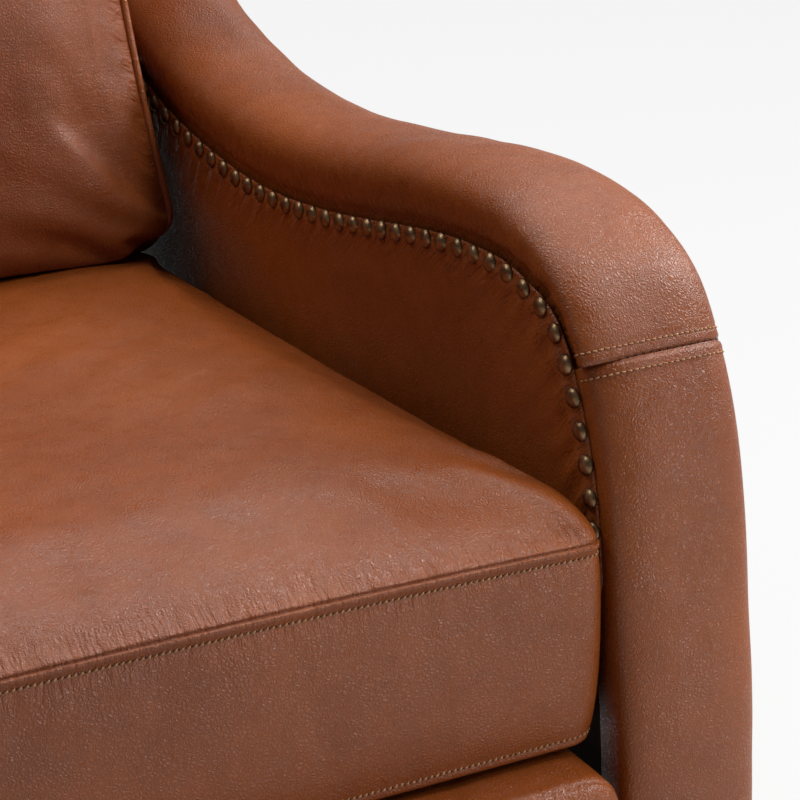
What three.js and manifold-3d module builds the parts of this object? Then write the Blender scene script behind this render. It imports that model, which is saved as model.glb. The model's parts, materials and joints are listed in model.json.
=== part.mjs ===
// A reclining wingback armchair in leather: a fixed frame of two padded sides, a seat that
// slides forward, a back that leans on the seat's rear corners, and a legrest that two
// parallelogram linkages swing up in front. Millimetres, +Z up, the sitter faces -Y.
import * as THREE from 'three';
import * as BufferGeometryUtils from 'three/addons/utils/BufferGeometryUtils.js';
import Module from 'manifold-3d';

const wasm = await Module();
wasm.setup();

// Driving dimensions
const seatHalf = 265;              // half the seat's width, to its side borders
const seatSeamHeight = 470;        // the seat's top front seam above the floor
const seatFrontY = -416;           // the seat's front plane
const seatDepth = 516;             // front plane to the crown of the back cushion
const seatBorder = 116;            // height of the seat's boxed front
const seatDrop = 24;               // how far the seat's top falls to the back
const armWidth = 89;
const armGap = 3;                  // between the seat's side and the inside panel
const armLength = 616;             // front plane to where the arm climbs into the wing
const armRise = 162;               // the arm's highest crest above the seat seam
const wingReach = 244;             // from there to the wing's rear top
const rearPad = 12;                // padded strip on the side's rear edge
const wingRise = 556;              // the wing's top above the seat seam
const postLean = 28;               // how far the post's foot stands ahead of the seat front
const skirtHeight = 135;           // underside of the frame above the floor
const rake = THREE.MathUtils.degToRad(15);
const ply = 18;
const panelThick = 12;
const fit = 0.3;                   // gap between pieces that touch
const overrun = 5;                 // how far a cut runs past its faces
const steel = 3;
const reclineTravel = 60;          // the seat's full slide
const weld = 1e-4;                 // corners nearer than this are one
const roundSegments = 6;
const studProud = 1;               // how far a stud stands past its plate
const pinSides = 16;
const cornerSteps = 5;             // along a cushion's rounded corner
const sideSteps = 6;               // along its side

// Places that follow from them
const insideX = seatHalf + armGap;                   // face of the inside arm panel
const outsideX = insideX + armWidth;
const armMidX = (insideX + outsideX) / 2;
const innerPlyX = insideX + panelThick + fit;
const outerPlyX = outsideX - panelThick - fit - ply;
const rearFaceY = armLength + wingReach - rearPad;   // from the seat's front plane
const skirtDrop = seatSeamHeight - skirtHeight;      // seam down to the frame's underside

const leather = { color: 0x8a4a2a, roughness: 0.5, metalness: 0 };
const leatherDark = { color: 0x74401f, roughness: 0.55, metalness: 0 };
const brass = { color: 0x6a5030, roughness: 0.4, metalness: 0.9 };
const wood = { color: 0xb48a5a, roughness: 0.7, metalness: 0 };
const beech = { color: 0x9c6f42, roughness: 0.6, metalness: 0 };
const walnut = { color: 0x3a2417, roughness: 0.45, metalness: 0 };
const zinc = { color: 0x8d9094, roughness: 0.4, metalness: 0.9 };
const blackSteel = { color: 0x232427, roughness: 0.5, metalness: 0.8 };
const cloth = { color: 0x26241f, roughness: 0.95, metalness: 0 };
const nylon = { color: 0x1b1b1b, roughness: 0.6, metalness: 0 };

const chair = new THREE.Group();
const front = new THREE.Group();   // its origin is on the seat's front plane, at the seam
front.position.set(0, seatFrontY, seatSeamHeight);
chair.add(front);

// A closed geometry becomes a solid with its shared vertices merged.
function toSolid(geometry) {
  const bare = geometry.clone();
  bare.deleteAttribute('normal');
  bare.deleteAttribute('uv');
  const merged = BufferGeometryUtils.mergeVertices(bare, weld);
  return new wasm.Manifold(new wasm.Mesh({
    numProp: 3,
    vertProperties: new Float32Array(merged.attributes.position.array),
    triVerts: new Uint32Array(merged.index.array),
  }));
}

// A solid's vertices and triangles go back into a geometry.
function fromSolid(solid) {
  const mesh = solid.getMesh();
  const geometry = new THREE.BufferGeometry();
  const positions = new Float32Array(mesh.numVert * 3);
  for (let i = 0; i < mesh.numVert; i += 1) {
    for (let k = 0; k < 3; k += 1) {
      positions[3 * i + k] = mesh.vertProperties[mesh.numProp * i + k];
    }
  }
  geometry.setAttribute('position', new THREE.BufferAttribute(positions, 3));
  geometry.setIndex(new THREE.BufferAttribute(new Uint32Array(mesh.triVerts), 1));
  geometry.computeVertexNormals();
  return geometry;
}

const joined = (...parts) => fromSolid(parts.map(toSolid).reduce((all, one) => all.add(one)));
const cut = (body, ...tools) => fromSolid(
  tools.map(toSolid).reduce((rest, tool) => rest.subtract(tool), toSolid(body)));

function addMesh(parent, name, geometry, finish) {
  const mesh = new THREE.Mesh(geometry, new THREE.MeshStandardMaterial(finish));
  mesh.name = name;
  parent.add(mesh);
  return mesh;
}

// The mirror image across the chair's middle, with its faces turned to point out again.
function mirrored(geometry) {
  const copy = geometry.index ? geometry.toNonIndexed() : geometry.clone();
  const position = copy.attributes.position;
  for (let i = 0; i < position.count; i += 3) {
    const [a, b, c] = [0, 1, 2].map((k) => new THREE.Vector3().fromBufferAttribute(position, i + k));
    [a, c, b].forEach((corner, k) => position.setXYZ(i + k, -corner.x, corner.y, corner.z));
  }
  copy.computeVertexNormals();
  return copy;
}

// A piece of the right side, made in the right place, and its twin on the left.
function addPair(parent, name, geometry, finish) {
  addMesh(parent, `${name}_right`, geometry, finish);
  addMesh(parent, `${name}_left`, mirrored(geometry), finish);
}

const sideways = new THREE.Matrix4().makeBasis(
  new THREE.Vector3(0, 1, 0), new THREE.Vector3(0, 0, 1), new THREE.Vector3(1, 0, 0));

function shapeOf(points, holes = []) {
  const shape = new THREE.Shape(points.map(([a, b]) => new THREE.Vector2(a, b)));
  holes.forEach((hole) => shape.holes.push(hole));
  return shape;
}

// A plate that stands in the Y-Z plane, from x0 to x1, with its outline as [y, z] points.
function plate(points, x0, x1, holes = []) {
  const geometry = new THREE.ExtrudeGeometry(shapeOf(points, holes), {
    depth: x1 - x0, bevelEnabled: false, curveSegments: roundSegments,
  });
  geometry.applyMatrix4(sideways);
  geometry.translate(x0, 0, 0);
  return geometry;
}

// A round pin or hole cutter along X, from x0 to x1, at [y, z].
function pin([y, z], radius, x0, x1) {
  const geometry = new THREE.CylinderGeometry(radius, radius, x1 - x0, pinSides);
  geometry.rotateZ(Math.PI / 2);
  geometry.translate((x0 + x1) / 2, y, z);
  return geometry;
}

// A block between two corners.
function block([x0, y0, z0], [x1, y1, z1]) {
  const geometry = new THREE.BoxGeometry(x1 - x0, y1 - y0, z1 - z0);
  geometry.translate((x0 + x1) / 2, (y0 + y1) / 2, (z0 + z1) / 2);
  return geometry;
}

// A closed solid through rings of equal count, with flat caps from each end ring's middle.
function loft(rings) {
  const count = rings[0].length;
  const points = rings.flat();
  const index = [];
  for (let r = 0; r < rings.length - 1; r += 1) {
    for (let i = 0; i < count; i += 1) {
      const a = r * count + i;
      const b = r * count + (i + 1) % count;
      index.push(a, b, b + count, a, b + count, a + count);
    }
  }
  [0, rings.length - 1].forEach((r) => {
    const middle = rings[r].reduce((sum, p) => sum.map((v, k) => v + p[k] / count), [0, 0, 0]);
    points.push(middle);
    const hub = points.length - 1;
    for (let i = 0; i < count; i += 1) {
      const a = r * count + i;
      const b = r * count + (i + 1) % count;
      index.push(...(r === 0 ? [hub, b, a] : [hub, a, b]));
    }
  });
  const geometry = new THREE.BufferGeometry();
  geometry.setAttribute('position', new THREE.Float32BufferAttribute(points.flat(), 3));
  geometry.setIndex(index);
  geometry.computeVertexNormals();
  return geometry;
}

// A rounded rectangle round the origin as [a, b] points, counter-clockwise.
function roundedRectangle(halfA, halfB, radius, steps) {
  const points = [];
  [[1, 1], [-1, 1], [-1, -1], [1, -1]].forEach(([sa, sb], quarter) => {
    for (let i = 0; i <= steps; i += 1) {
      const turn = (quarter + i / steps) * Math.PI / 2;
      points.push([sa * (halfA - radius) + radius * Math.cos(turn),
        sb * (halfB - radius) + radius * Math.sin(turn)]);
    }
  });
  return points;
}

// The side's crest line, seen from the side, as [y, z] from the seat's front seam.
// The post's points are shares of its lean and of the drop to the underside.
const postShares = [[-1, -1], [-1, -0.85], [-1, -0.7], [-0.96, -0.55], [-0.86, -0.42],
  [-0.72, -0.3], [-0.5, -0.18], [-0.36, -0.08]];
// The arm's points are shares of its length and its rise.
const armShares = [[-0.01, 0.01], [0, 0.2], [0.015, 0.37], [0.039, 0.57], [0.054, 0.68],
  [0.073, 0.78], [0.098, 0.865], [0.127, 0.925], [0.162, 0.97], [0.203, 0.995], [0.244, 1],
  [0.294, 0.993], [0.349, 0.97], [0.406, 0.937], [0.464, 0.9], [0.545, 0.846], [0.609, 0.815],
  [0.653, 0.8], [0.719, 0.794], [0.789, 0.805], [0.862, 0.833], [0.937, 0.886], [1, 0.957]];
// The wing's points are shares of its reach and of its rise above the arm's crest.
const wingShares = [[0.12, 0.023], [0.19, 0.086], [0.23, 0.178], [0.205, 0.269], [0.123, 0.365],
  [0.009, 0.472], [-0.082, 0.579], [-0.107, 0.685], [-0.057, 0.792], [0.074, 0.883],
  [0.27, 0.947], [0.49, 0.982], [0.73, 0.997], [1, 1]];
const crestPoints = [
  ...postShares.map(([y, z]) => [y * postLean, z * skirtDrop]),
  ...armShares.map(([y, z]) => [y * armLength, z * armRise]),
  ...wingShares.map(([y, z]) => [armLength + y * wingReach, armRise + z * (wingRise - armRise)]),
];
const crestCurve = new THREE.CatmullRomCurve3(
  crestPoints.map(([y, z]) => new THREE.Vector3(0, y, z)), false, 'centripetal');
const seamPoint = postShares.length + 3;             // the crest point where the front seam runs

// Depth of the padding from the crest to its straight lower edge, with a nail in from that edge.
const padDepth = 61;
const nailInset = 8;
const depthShares = [[0, 0.56], [0.17, 0.56], [0.25, 0.59], [0.29, 0.67], [0.34, 0.8], [0.4, 0.87],
  [0.5, 0.97], [0.6, 1], [0.66, 0.95], [0.74, 0.68], [1, 0.68]];
function depthAt(share) {
  const next = depthShares.findIndex(([at]) => at >= share);
  if (next <= 0) return depthShares[0][1] * padDepth;
  const [a, from] = depthShares[next - 1];
  const [b, to] = depthShares[next];
  return (from + (to - from) * (share - a) / (b - a)) * padDepth;
}

// A station on the crest: its place, and the direction out of the padding there.
function station(share) {
  const at = crestCurve.getPoint(share);
  const along = crestCurve.getTangent(share);
  return { y: at.y, z: at.z, outY: -along.z, outZ: along.y, depth: depthAt(share) };
}
// The point that lies a height above the padding's lower edge, at a station.
const above = (s, height) => [s.y - s.outY * (s.depth - height), s.z - s.outZ * (s.depth - height)];

const seamShare = seamPoint / (crestPoints.length - 1);
const sharesBetween = (from, to, steps) => Array.from(
  { length: steps + 1 }, (_, i) => from + (to - from) * i / steps);

// The padding's cross-section: a flat foot, straight cheeks that carry the nail trim, a roll
// that swells past them on the inside, and a full dome. Half widths run from the arm's middle.
const domeFullness = 2.7;
const sectionSteps = 12;
const rollSwell = 9;
function padSection(s, swell) {
  const half = armWidth / 2 - fit;
  const cheek = Math.min(2 * nailInset, s.depth / 2);
  const ring = [[half, 0], [half, cheek]];
  for (let i = 1; i < sectionSteps; i += 1) {
    const turn = Math.PI * i / sectionSteps;
    const c = Math.cos(turn);
    const x = half * Math.sign(c) * Math.abs(c) ** (2 / domeFullness);
    const h = cheek + (s.depth - cheek) * Math.sin(turn) ** (2 / domeFullness);
    const swollen = c < 0 ? swell * Math.sin(turn) * Math.abs(c) * 2 : 0;
    ring.push([x - swollen, h]);
  }
  ring.push([-half, cheek], [-half, 0]);
  return ring.reverse().map(([x, h]) => [armMidX + x, ...above(s, h)]);
}
const padOver = (shares, swell) => loft(shares.map((share) => padSection(station(share), swell)));

// The facing covers the post up to the seam, and the roll goes on from there to the wing's end.
const rollSteps = 40;
const facingSteps = 12;
const seamGapShare = 0.0008;
const edgeShares = [...sharesBetween(0, seamShare, facingSteps),
  ...sharesBetween(seamShare, 1, rollSteps).slice(1)];
const facingShares = [...edgeShares.slice(0, facingSteps), seamShare - seamGapShare];
const rollShares = [seamShare + seamGapShare, ...edgeShares.slice(facingSteps + 1)];
const belowPlane = (z) => block(
  [-outsideX - overrun, -skirtDrop, z - skirtDrop], [outsideX + overrun, rearFaceY * 2, z]);
const roll = padOver(rollShares, rollSwell);
const facing = cut(padOver(facingShares, 0), belowPlane(-skirtDrop));
addPair(front, 'arm_roll', roll, leather);
addPair(front, 'front_facing', facing, leather);

// The outline that the padding's lower edge, the rear edge and the underside enclose.
const rearKnee = 35;                                 // the rear edge is upright below this drop
const rearFootY = rearFaceY - Math.tan(rake) * (wingRise + rearKnee);
const rearLine = [[rearFaceY, wingRise], [rearFootY, -rearKnee], [rearFootY, -skirtDrop]];
function sideOutline(inset, bottom) {
  const edge = edgeShares.map((share) => above(station(share), -inset));
  const kept = edge.filter(([y, z]) => z > bottom && y < rearFaceY - inset);
  const startY = edge.find(([, z]) => z > bottom)[0];
  const rear = rearLine.slice(1, 2).map(([y, z]) => [y - inset, z]);
  const top = kept[kept.length - 1];
  const rearTop = rearLine[0][0] - inset - Math.tan(rake) * (rearLine[0][1] - top[1]);
  return [[startY, bottom], ...kept, [rearTop, top[1]], ...rear, [rearFootY - inset, bottom]];
}

// Lightening holes in the plywood, as rounded slots at shares of the side's depth and height.
const slotRound = 22;
const slotSteps = 3;
function slots(places, halfY, halfZ) {
  return places.map(([y, z]) => {
    const ring = roundedRectangle(halfY, halfZ, slotRound, slotSteps);
    return new THREE.Path(ring.map(
      ([a, b]) => new THREE.Vector2(a + y * rearFootY, b - z * skirtDrop)));
  });
}
const slotHalfY = 42;
const slotHalfZ = 34;
const slotShares = [[0.28, -0.02], [0.5, -0.02], [0.72, -0.02]];
const lowSlotShares = [[0.2, 0.55], [0.42, 0.55], [0.64, 0.55], [0.86, 0.55]];
const frameInset = fit;
const sideFrame = plate(sideOutline(frameInset, -skirtDrop), innerPlyX, innerPlyX + ply,
  slots(slotShares, slotHalfY, slotHalfZ));
const outerFrame = plate(sideOutline(frameInset, -skirtDrop), outerPlyX, outerPlyX + ply,
  slots([...slotShares, ...lowSlotShares], slotHalfY, slotHalfZ));
addPair(front, 'side_frame', sideFrame, wood);
addPair(front, 'outer_frame', outerFrame, wood);

// Padded leather panels over the plywood, inside the arm and outside it.
addPair(front, 'inside_panel',
  plate(sideOutline(fit, -seatBorder), insideX, insideX + panelThick), leather);
addPair(front, 'outside_panel',
  plate(sideOutline(fit, -skirtDrop), outsideX - panelThick, outsideX), leather);

// The strip that closes the side's rear edge, up to the padding's lower edge.
const rearTopZ = above(station(1), 0)[1] - fit;
const rearSlope = Math.tan(rake);
const rearTopY = rearFaceY - rearSlope * (wingRise - rearTopZ);
addPair(front, 'rear_facing', plate([
  [rearTopY + fit, rearTopZ], [rearFootY + fit, -rearKnee], [rearFootY + fit, -skirtDrop],
  [rearFootY + rearPad, -skirtDrop], [rearFootY + rearPad, -rearKnee], [rearTopY + rearPad, rearTopZ],
], insideX + fit, outsideX - fit), leatherDark);

// The folded leather edge under the roll, with its domed nails at an even pitch.
const trimHalf = 7;
const trimThick = 1.6;
const nailPitch = 18.5;
const nailRadius = 6.1;
const nailHeight = 3.4;
const trimStartShare = 0.19;
const trimEndShare = 0.76;
const trimSteps = 40;
const nailSides = 6;
const nailRings = 4;
function trimGeometry() {
  const shares = sharesBetween(trimStartShare, trimEndShare, trimSteps);
  const low = shares.map((share) => above(station(share), nailInset - trimHalf));
  const high = shares.map((share) => above(station(share), nailInset + trimHalf));
  const x1 = insideX - fit;
  const strip = plate([...high, ...low.reverse()].reverse(), x1 - trimThick, x1);
  const line = new THREE.CurvePath();
  const middle = shares.map((share) => above(station(share), nailInset));
  middle.slice(1).forEach(([y, z], i) => line.add(new THREE.LineCurve(
    new THREE.Vector2(...middle[i]), new THREE.Vector2(y, z))));
  const count = Math.floor(line.getLength() / nailPitch);
  const nails = Array.from({ length: count }, (_, i) => {
    const at = line.getPointAt((i + 0.5) * nailPitch / line.getLength());
    const dome = new THREE.SphereGeometry(nailRadius, nailSides, nailRings);
    dome.scale(1, 1, nailHeight / nailRadius);
    dome.rotateY(-Math.PI / 2);
    dome.translate(x1 - trimThick, at.x, at.y);
    return dome;
  });
  const clear = block([x1 - trimThick / 2, -skirtDrop, -skirtDrop], [outsideX, rearFaceY, wingRise]);
  return joined(strip, fromSolid(nails.map(toSolid).reduce((all, one) => all.add(one))
    .subtract(toSolid(clear))));
}
addPair(front, 'nail_trim', trimGeometry(), brass);

// Rails and legs
const railX0 = innerPlyX + ply + fit;
const railX1 = outerPlyX - fit;
const railHeight = 50;
const postFootY = above(station(0), -fit)[0];
const bottomRail = block([railX0, postFootY, -skirtDrop],
  [railX1, rearFootY - fit, -skirtDrop + railHeight]);
addPair(front, 'bottom_rail', bottomRail, beech);

const frontRailY = 38;
const frontRailDepth = 32;
const frontRailHeight = 20;
const rearRailDepth = 30;
const rearRailHeight = 60;
const crossHalf = innerPlyX - fit;
addMesh(front, 'front_cross_rail', block([-crossHalf, frontRailY, -skirtDrop],
  [crossHalf, frontRailY + frontRailDepth, -skirtDrop + frontRailHeight]), beech);
addMesh(front, 'rear_cross_rail', block([-crossHalf, rearFootY - rearRailDepth, -skirtDrop],
  [crossHalf, rearFootY, -skirtDrop + rearRailHeight]), beech);

const glideHeight = 6;
const glideRadius = 12;
const glideSides = 16;
const legTop = 27;
const legFoot = 15;
const legRound = 5;
const legSplay = 6;
const legInset = 40;
const legHeight = skirtHeight - glideHeight - 2 * fit;
const legSteps = 2;
const legBellyShares = [[0, 0], [0.3, 0.38], [0.65, 0.74], [1, 1]];
function legGeometry(lean) {
  return loft(legBellyShares.map(([height, widening]) => {
    const half = legFoot + (legTop - legFoot) * widening;
    const shift = -lean * legSplay * (1 - height);
    return roundedRectangle(half, half, legRound, legSteps)
      .map(([x, y]) => [x + legSplay * (1 - height), y - shift, height * legHeight]);
  }));
}
const glideProfile = [[0, 0], [glideRadius - glideHeight / 3, 0], [glideRadius, glideHeight / 3],
  [glideRadius, glideHeight], [0, glideHeight]];
[['front', legInset - postLean, -1], ['rear', rearFootY - legInset, 1]].forEach(([end, y, lean]) => {
  const leg = legGeometry(lean);
  leg.translate(armMidX, y, glideHeight + fit - seatSeamHeight);
  addPair(front, `leg_${end}`, leg, walnut);
  const glide = new THREE.LatheGeometry(glideProfile.map(([r, z]) => new THREE.Vector2(r, z)), glideSides);
  glide.rotateX(Math.PI / 2);
  glide.translate(armMidX + legSplay, y + lean * legSplay, -seatSeamHeight);
  addPair(front, `glide_${end}`, glide, nylon);
});

// Cushions: a rounded outline carried through levels. Each level gives its height, how far it
// stands out past the outline, and its scale towards the middle.
function pillow(outline, levels) {
  const next = (i) => outline[(i + 1) % outline.length];
  const before = (i) => outline[(i + outline.length - 1) % outline.length];
  return loft(levels.map(({ height, out = 0, scale = 1 }) => outline.map(([a, b], i) => {
    const dx = next(i)[0] - before(i)[0];
    const dy = next(i)[1] - before(i)[1];
    const length = Math.hypot(dx, dy);
    return [(a + out * dy / length) * scale, (b - out * dx / length) * scale, height];
  })));
}

// The outline of a cushion whose sides draw in between their corners.
function drawnIn(halfA, halfB, radius, pull, steps, between) {
  const corners = roundedRectangle(halfA, halfB, radius, steps);
  const points = [];
  corners.forEach(([a, b], i) => {
    const [c, d] = corners[(i + 1) % corners.length];
    points.push([a, b]);
    const isSide = (i + 1) % (steps + 1) === 0;
    for (let k = 1; isSide && k < between; k += 1) {
      const t = k / between;
      const inward = pull * Math.sin(Math.PI * t);
      const length = Math.hypot(c - a, d - b);
      points.push([a + (c - a) * t - inward * (d - b) / length,
        b + (d - b) * t + inward * (c - a) / length]);
    }
  });
  return points;
}

// Crown levels from the seam to the middle of the face.
const crownShares = [[0.985, 0.22], [0.95, 0.48], [0.88, 0.72], [0.76, 0.88], [0.55, 0.97], [0.28, 1]];
const crownLevels = (seam, crown) => crownShares.map(
  ([scale, rise]) => ({ height: seam + rise * crown, scale }));

// Seat: a boxed cushion whose underside is pocketed over the frame.
const seatOverlap = 84;                              // how far it runs in under the back
const seatLength = seatDepth + seatOverlap;
const seatCorner = 12;
const seatPull = 3;
const seatCrown = 15;
const seatBulge = 4;
const seatFrameSide = 23;                            // from the cushion's side to the frame
const seatFrameHalf = seatHalf - seatFrameSide;
const seatFrameFront = 26;
const seatFrameShort = 55;                           // the frame ends before the cushion does
const seatFrameRear = seatLength - seatFrameShort;
const seatFrameHeight = 48;
const seatRail = 28;
const hingeRoom = steel + studProud + 3 * fit;
const seatOutline = drawnIn(seatHalf - seatBulge, seatLength / 2 - seatBulge / 2, seatCorner,
  seatPull, cornerSteps - 1, sideSteps);
const seatBlank = pillow(seatOutline, [
  { height: -seatBorder, out: -seatBulge },
  { height: -seatBorder * 0.93, out: 0 },
  { height: -seatBorder * 0.6, out: seatBulge * 0.8 },
  { height: -seatBorder * 0.3, out: seatBulge },
  { height: -seatBorder * 0.06, out: seatBulge * 0.5 },
  { height: 0, out: seatBulge * 0.2 },
  ...crownLevels(0, seatCrown),
]);
// The top falls towards the back in a straight line, and the underside stays level.
function fallBack(geometry) {
  const position = geometry.attributes.position;
  for (let i = 0; i < position.count; i += 1) {
    const y = position.getY(i) + seatLength / 2;
    const share = (position.getZ(i) + seatBorder) / seatBorder;
    position.setY(i, y);
    position.setZ(i, position.getZ(i) - seatDrop * share * y / seatLength);
  }
  return geometry;
}
const seat = new THREE.Group();
front.add(seat);
const pocketTop = -seatBorder + seatFrameHeight + fit;
const deckThick = 3;
const pocketHalf = seatFrameHalf + hingeRoom;
addMesh(seat, 'seat_cushion', cut(fallBack(seatBlank), block(
  [-pocketHalf, seatFrameFront - fit, -seatBorder - overrun],
  [pocketHalf, seatLength + overrun, pocketTop + deckThick + fit])), leather);
const frameHole = block(
  [-seatFrameHalf + seatRail, seatFrameFront + seatRail, -seatBorder - overrun],
  [seatFrameHalf - seatRail, seatFrameRear - seatRail, 0]);
addMesh(seat, 'seat_frame', cut(block([-seatFrameHalf, seatFrameFront, -seatBorder],
  [seatFrameHalf, seatFrameRear, -seatBorder + seatFrameHeight]), frameHole), beech);
addMesh(seat, 'seat_deck', block([-seatFrameHalf, seatFrameFront, pocketTop],
  [seatFrameHalf, seatFrameRear, pocketTop + deckThick]), cloth);

// Sinuous springs run from the front rail to the rear one, in clips on the rails' inner faces.
const springCount = 4;
const springWire = 1.8;
const springHalf = 22;
const springLoops = 12;
const springArch = 10;
const springSides = 4;
const springStepsPerLoop = 4;
const springLead = 8;                                // straight ends, into the rails' clips
const springY0 = seatFrameFront + seatRail + fit;
const springY1 = seatFrameRear - seatRail - fit;
const springZ = -seatBorder + seatFrameHeight - springArch - springWire * 2;
function springGeometry() {
  const total = springLoops * springStepsPerLoop;
  const waves = sharesBetween(0, 1, total).map((t) => new THREE.Vector3(
    springHalf * Math.sin(Math.PI * springLoops * t),
    springY0 + springLead + (springY1 - springY0 - 2 * springLead) * t,
    springZ + springArch * Math.sin(Math.PI * t)));
  const points = [new THREE.Vector3(0, springY0, springZ), ...waves,
    new THREE.Vector3(0, springY1, springZ)];
  const circle = Array.from({ length: springSides }, (_, k) => new THREE.Vector2(
    springWire * Math.cos(2 * Math.PI * k / springSides),
    springWire * Math.sin(2 * Math.PI * k / springSides)));
  return new THREE.ExtrudeGeometry(new THREE.Shape(circle), {
    extrudePath: new THREE.CatmullRomCurve3(points), steps: total + 2, bevelEnabled: false,
  });
}
const springSpan = 2 * (seatFrameHalf - seatRail) / springCount;
for (let i = 0; i < springCount; i += 1) {
  const spring = addMesh(seat, `seat_spring_${i + 1}`, springGeometry(), zinc);
  spring.position.x = (i + 0.5 - springCount / 2) * springSpan;
}

// Runners: each side plate carries a channel, and a bar under the seat frame slides in it.
const channelDrop = 4;                               // below the seat's underside
const channelTop = -seatBorder - channelDrop;
const channelWall = 2.5;
const runnerGap = 0.6;
const barHeight = 6;
const channelHeight = barHeight + 2 * (runnerGap + channelWall);
const sidePlateX1 = innerPlyX - fit;
const sidePlateX0 = sidePlateX1 - steel;
const channelDepth = 24;
const channelFront = 70;
const channelShort = 25;                             // it ends before the seat frame does
const channelRear = seatFrameRear - channelShort;
const barX0 = seatFrameHalf - seatRail + overrun;
const barFoot = channelTop - channelWall - runnerGap - barHeight;
const barFront = channelFront + reclineTravel + overrun;
const barRear = channelRear - overrun;
const slideBar = joined(
  block([barX0, barFront, barFoot], [sidePlateX0 - channelWall, barRear, barFoot + barHeight]),
  block([barX0, barFront, barFoot], [barX0 + barHeight, barRear, -seatBorder - fit]));
addPair(seat, 'slide_bar', slideBar, blackSteel);

// Legrest linkage, as [y, z] pivots at rest. Two equal links hang from the side plate and carry
// the carrier without turning it. A crank on the guide link and an equal one on the legrest's
// bracket are joined by the control rod, so the legrest turns as much as the links do.
const turned = ([y, z], length, angle) => [
  y + length * Math.cos(angle), z + length * Math.sin(angle)];
const pivotA = [150, -168];
const linkLength = 150;
const linkRest = THREE.MathUtils.degToRad(-55);
const guideOffset = [60, -10];
const carrierReach = [-168, 124];
const crank = 26;
const plus = ([a, b], [c, d]) => [a + c, b + d];
const pivotE = turned(pivotA, linkLength, linkRest);
const guideA = plus(pivotA, guideOffset);
const guideE = plus(pivotE, guideOffset);
const pivotC = plus(pivotE, carrierReach);
const crankJ = turned(guideE, crank, linkRest);
const crankK = turned(pivotC, crank, linkRest);
const linkHalf = 9;
const linkSteps = 8;
const studRadius = 4;
const boreRadius = studRadius + fit;
const layerGap = 3;
const layerPitch = steel + layerGap;
const postClear = 5;                                 // links pass inside the posts by this much
const swingX = insideX - postClear;                  // outer faces of the links' layers
const carrierX = swingX - layerPitch;
const guideX = carrierX - layerPitch;
const rodX = guideX - layerPitch;

// A flat link along a chain of pivots, with round ends, bored at some and studded at others.
function link(chain, x1, bores, studs) {
  const bars = chain.slice(1).map((to, i) => {
    const from = chain[i];
    const angle = Math.atan2(to[1] - from[1], to[0] - from[0]);
    const halfTurn = sharesBetween(-0.5, 0.5, linkSteps).map((share) => angle + share * Math.PI);
    const outline = [
      ...halfTurn.map((at) => turned(to, linkHalf, at)),
      ...halfTurn.map((at) => turned(from, linkHalf, at + Math.PI)),
    ];
    return plate(outline, x1 - steel, x1);
  });
  const body = bars.length > 1 ? joined(...bars) : bars[0];
  const bored = bores.length
    ? cut(body, ...bores.map((at) => pin(at, boreRadius, x1 - steel - overrun, x1 + overrun))) : body;
  return studs.length
    ? joined(bored, ...studs.map(([at, a, b]) => pin(at, studRadius, a, b))) : bored;
}

// The links' studs reach through the neighbouring layer and are headed there.
const through = layerPitch + studProud;
const tubeRadius = 11;
const swingLink = link([pivotA, pivotE], swingX, [pivotA],
  [[pivotE, swingX - steel - through, swingX - steel / 2]]);
const tubeX = swingX - steel / 2;
const swingFrame = joined(swingLink, mirrored(swingLink),
  cut(pin(pivotA, tubeRadius, -tubeX, tubeX),
    pin(pivotA, boreRadius, swingX - steel - overrun, tubeX + overrun),
    pin(pivotA, boreRadius, -tubeX - overrun, -swingX + steel + overrun)));
addMesh(front, 'torque_tube', swingFrame, blackSteel);
addPair(front, 'guide_link', link([guideA, guideE, crankJ], guideX, [guideA, guideE],
  [[crankJ, guideX - steel - through, guideX - steel / 2]]), blackSteel);
addPair(front, 'carrier', link([guideE, pivotE, pivotC], carrierX, [pivotE],
  [[guideE, carrierX - steel - through, carrierX - steel / 2],
    [pivotC, carrierX - steel - through, carrierX - steel / 2]]), zinc);
addPair(front, 'control_rod', link([crankJ, crankK], rodX, [crankJ, crankK], []), zinc);

// Side plates on the plywood, with the two link pivots and the runner channel.
const sidePlateTail = 20;
const sidePlateRear = channelRear + sidePlateTail;
const sidePlateLow = -218;
const platePad = 24;
const plateOutline = [[channelFront, channelTop], [channelFront, channelTop - channelHeight],
  [pivotA[0] - platePad, sidePlateLow + platePad], [pivotA[0], sidePlateLow],
  [guideA[0] + platePad, sidePlateLow], [sidePlateRear - platePad, channelTop - channelHeight],
  [sidePlateRear, channelTop - channelHeight / 2], [sidePlateRear, channelTop]];
const channelX0 = sidePlateX0 - channelDepth;
const channel = [
  block([channelX0, channelFront, channelTop - channelWall], [sidePlateX1, channelRear, channelTop]),
  block([channelX0, channelFront, channelTop - channelHeight],
    [sidePlateX1, channelRear, channelTop - channelHeight + channelWall]),
];
addPair(front, 'side_plate', joined(plate([...plateOutline].reverse(), sidePlateX0, sidePlateX1),
  ...channel,
  pin(pivotA, studRadius, swingX - steel + fit, sidePlateX1),
  pin(pivotA, linkHalf, swingX + studProud, sidePlateX1),
  pin(guideA, studRadius, guideX - steel - studProud, sidePlateX1),
  pin(guideA, linkHalf, guideX + studProud, sidePlateX1)), zinc);

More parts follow.
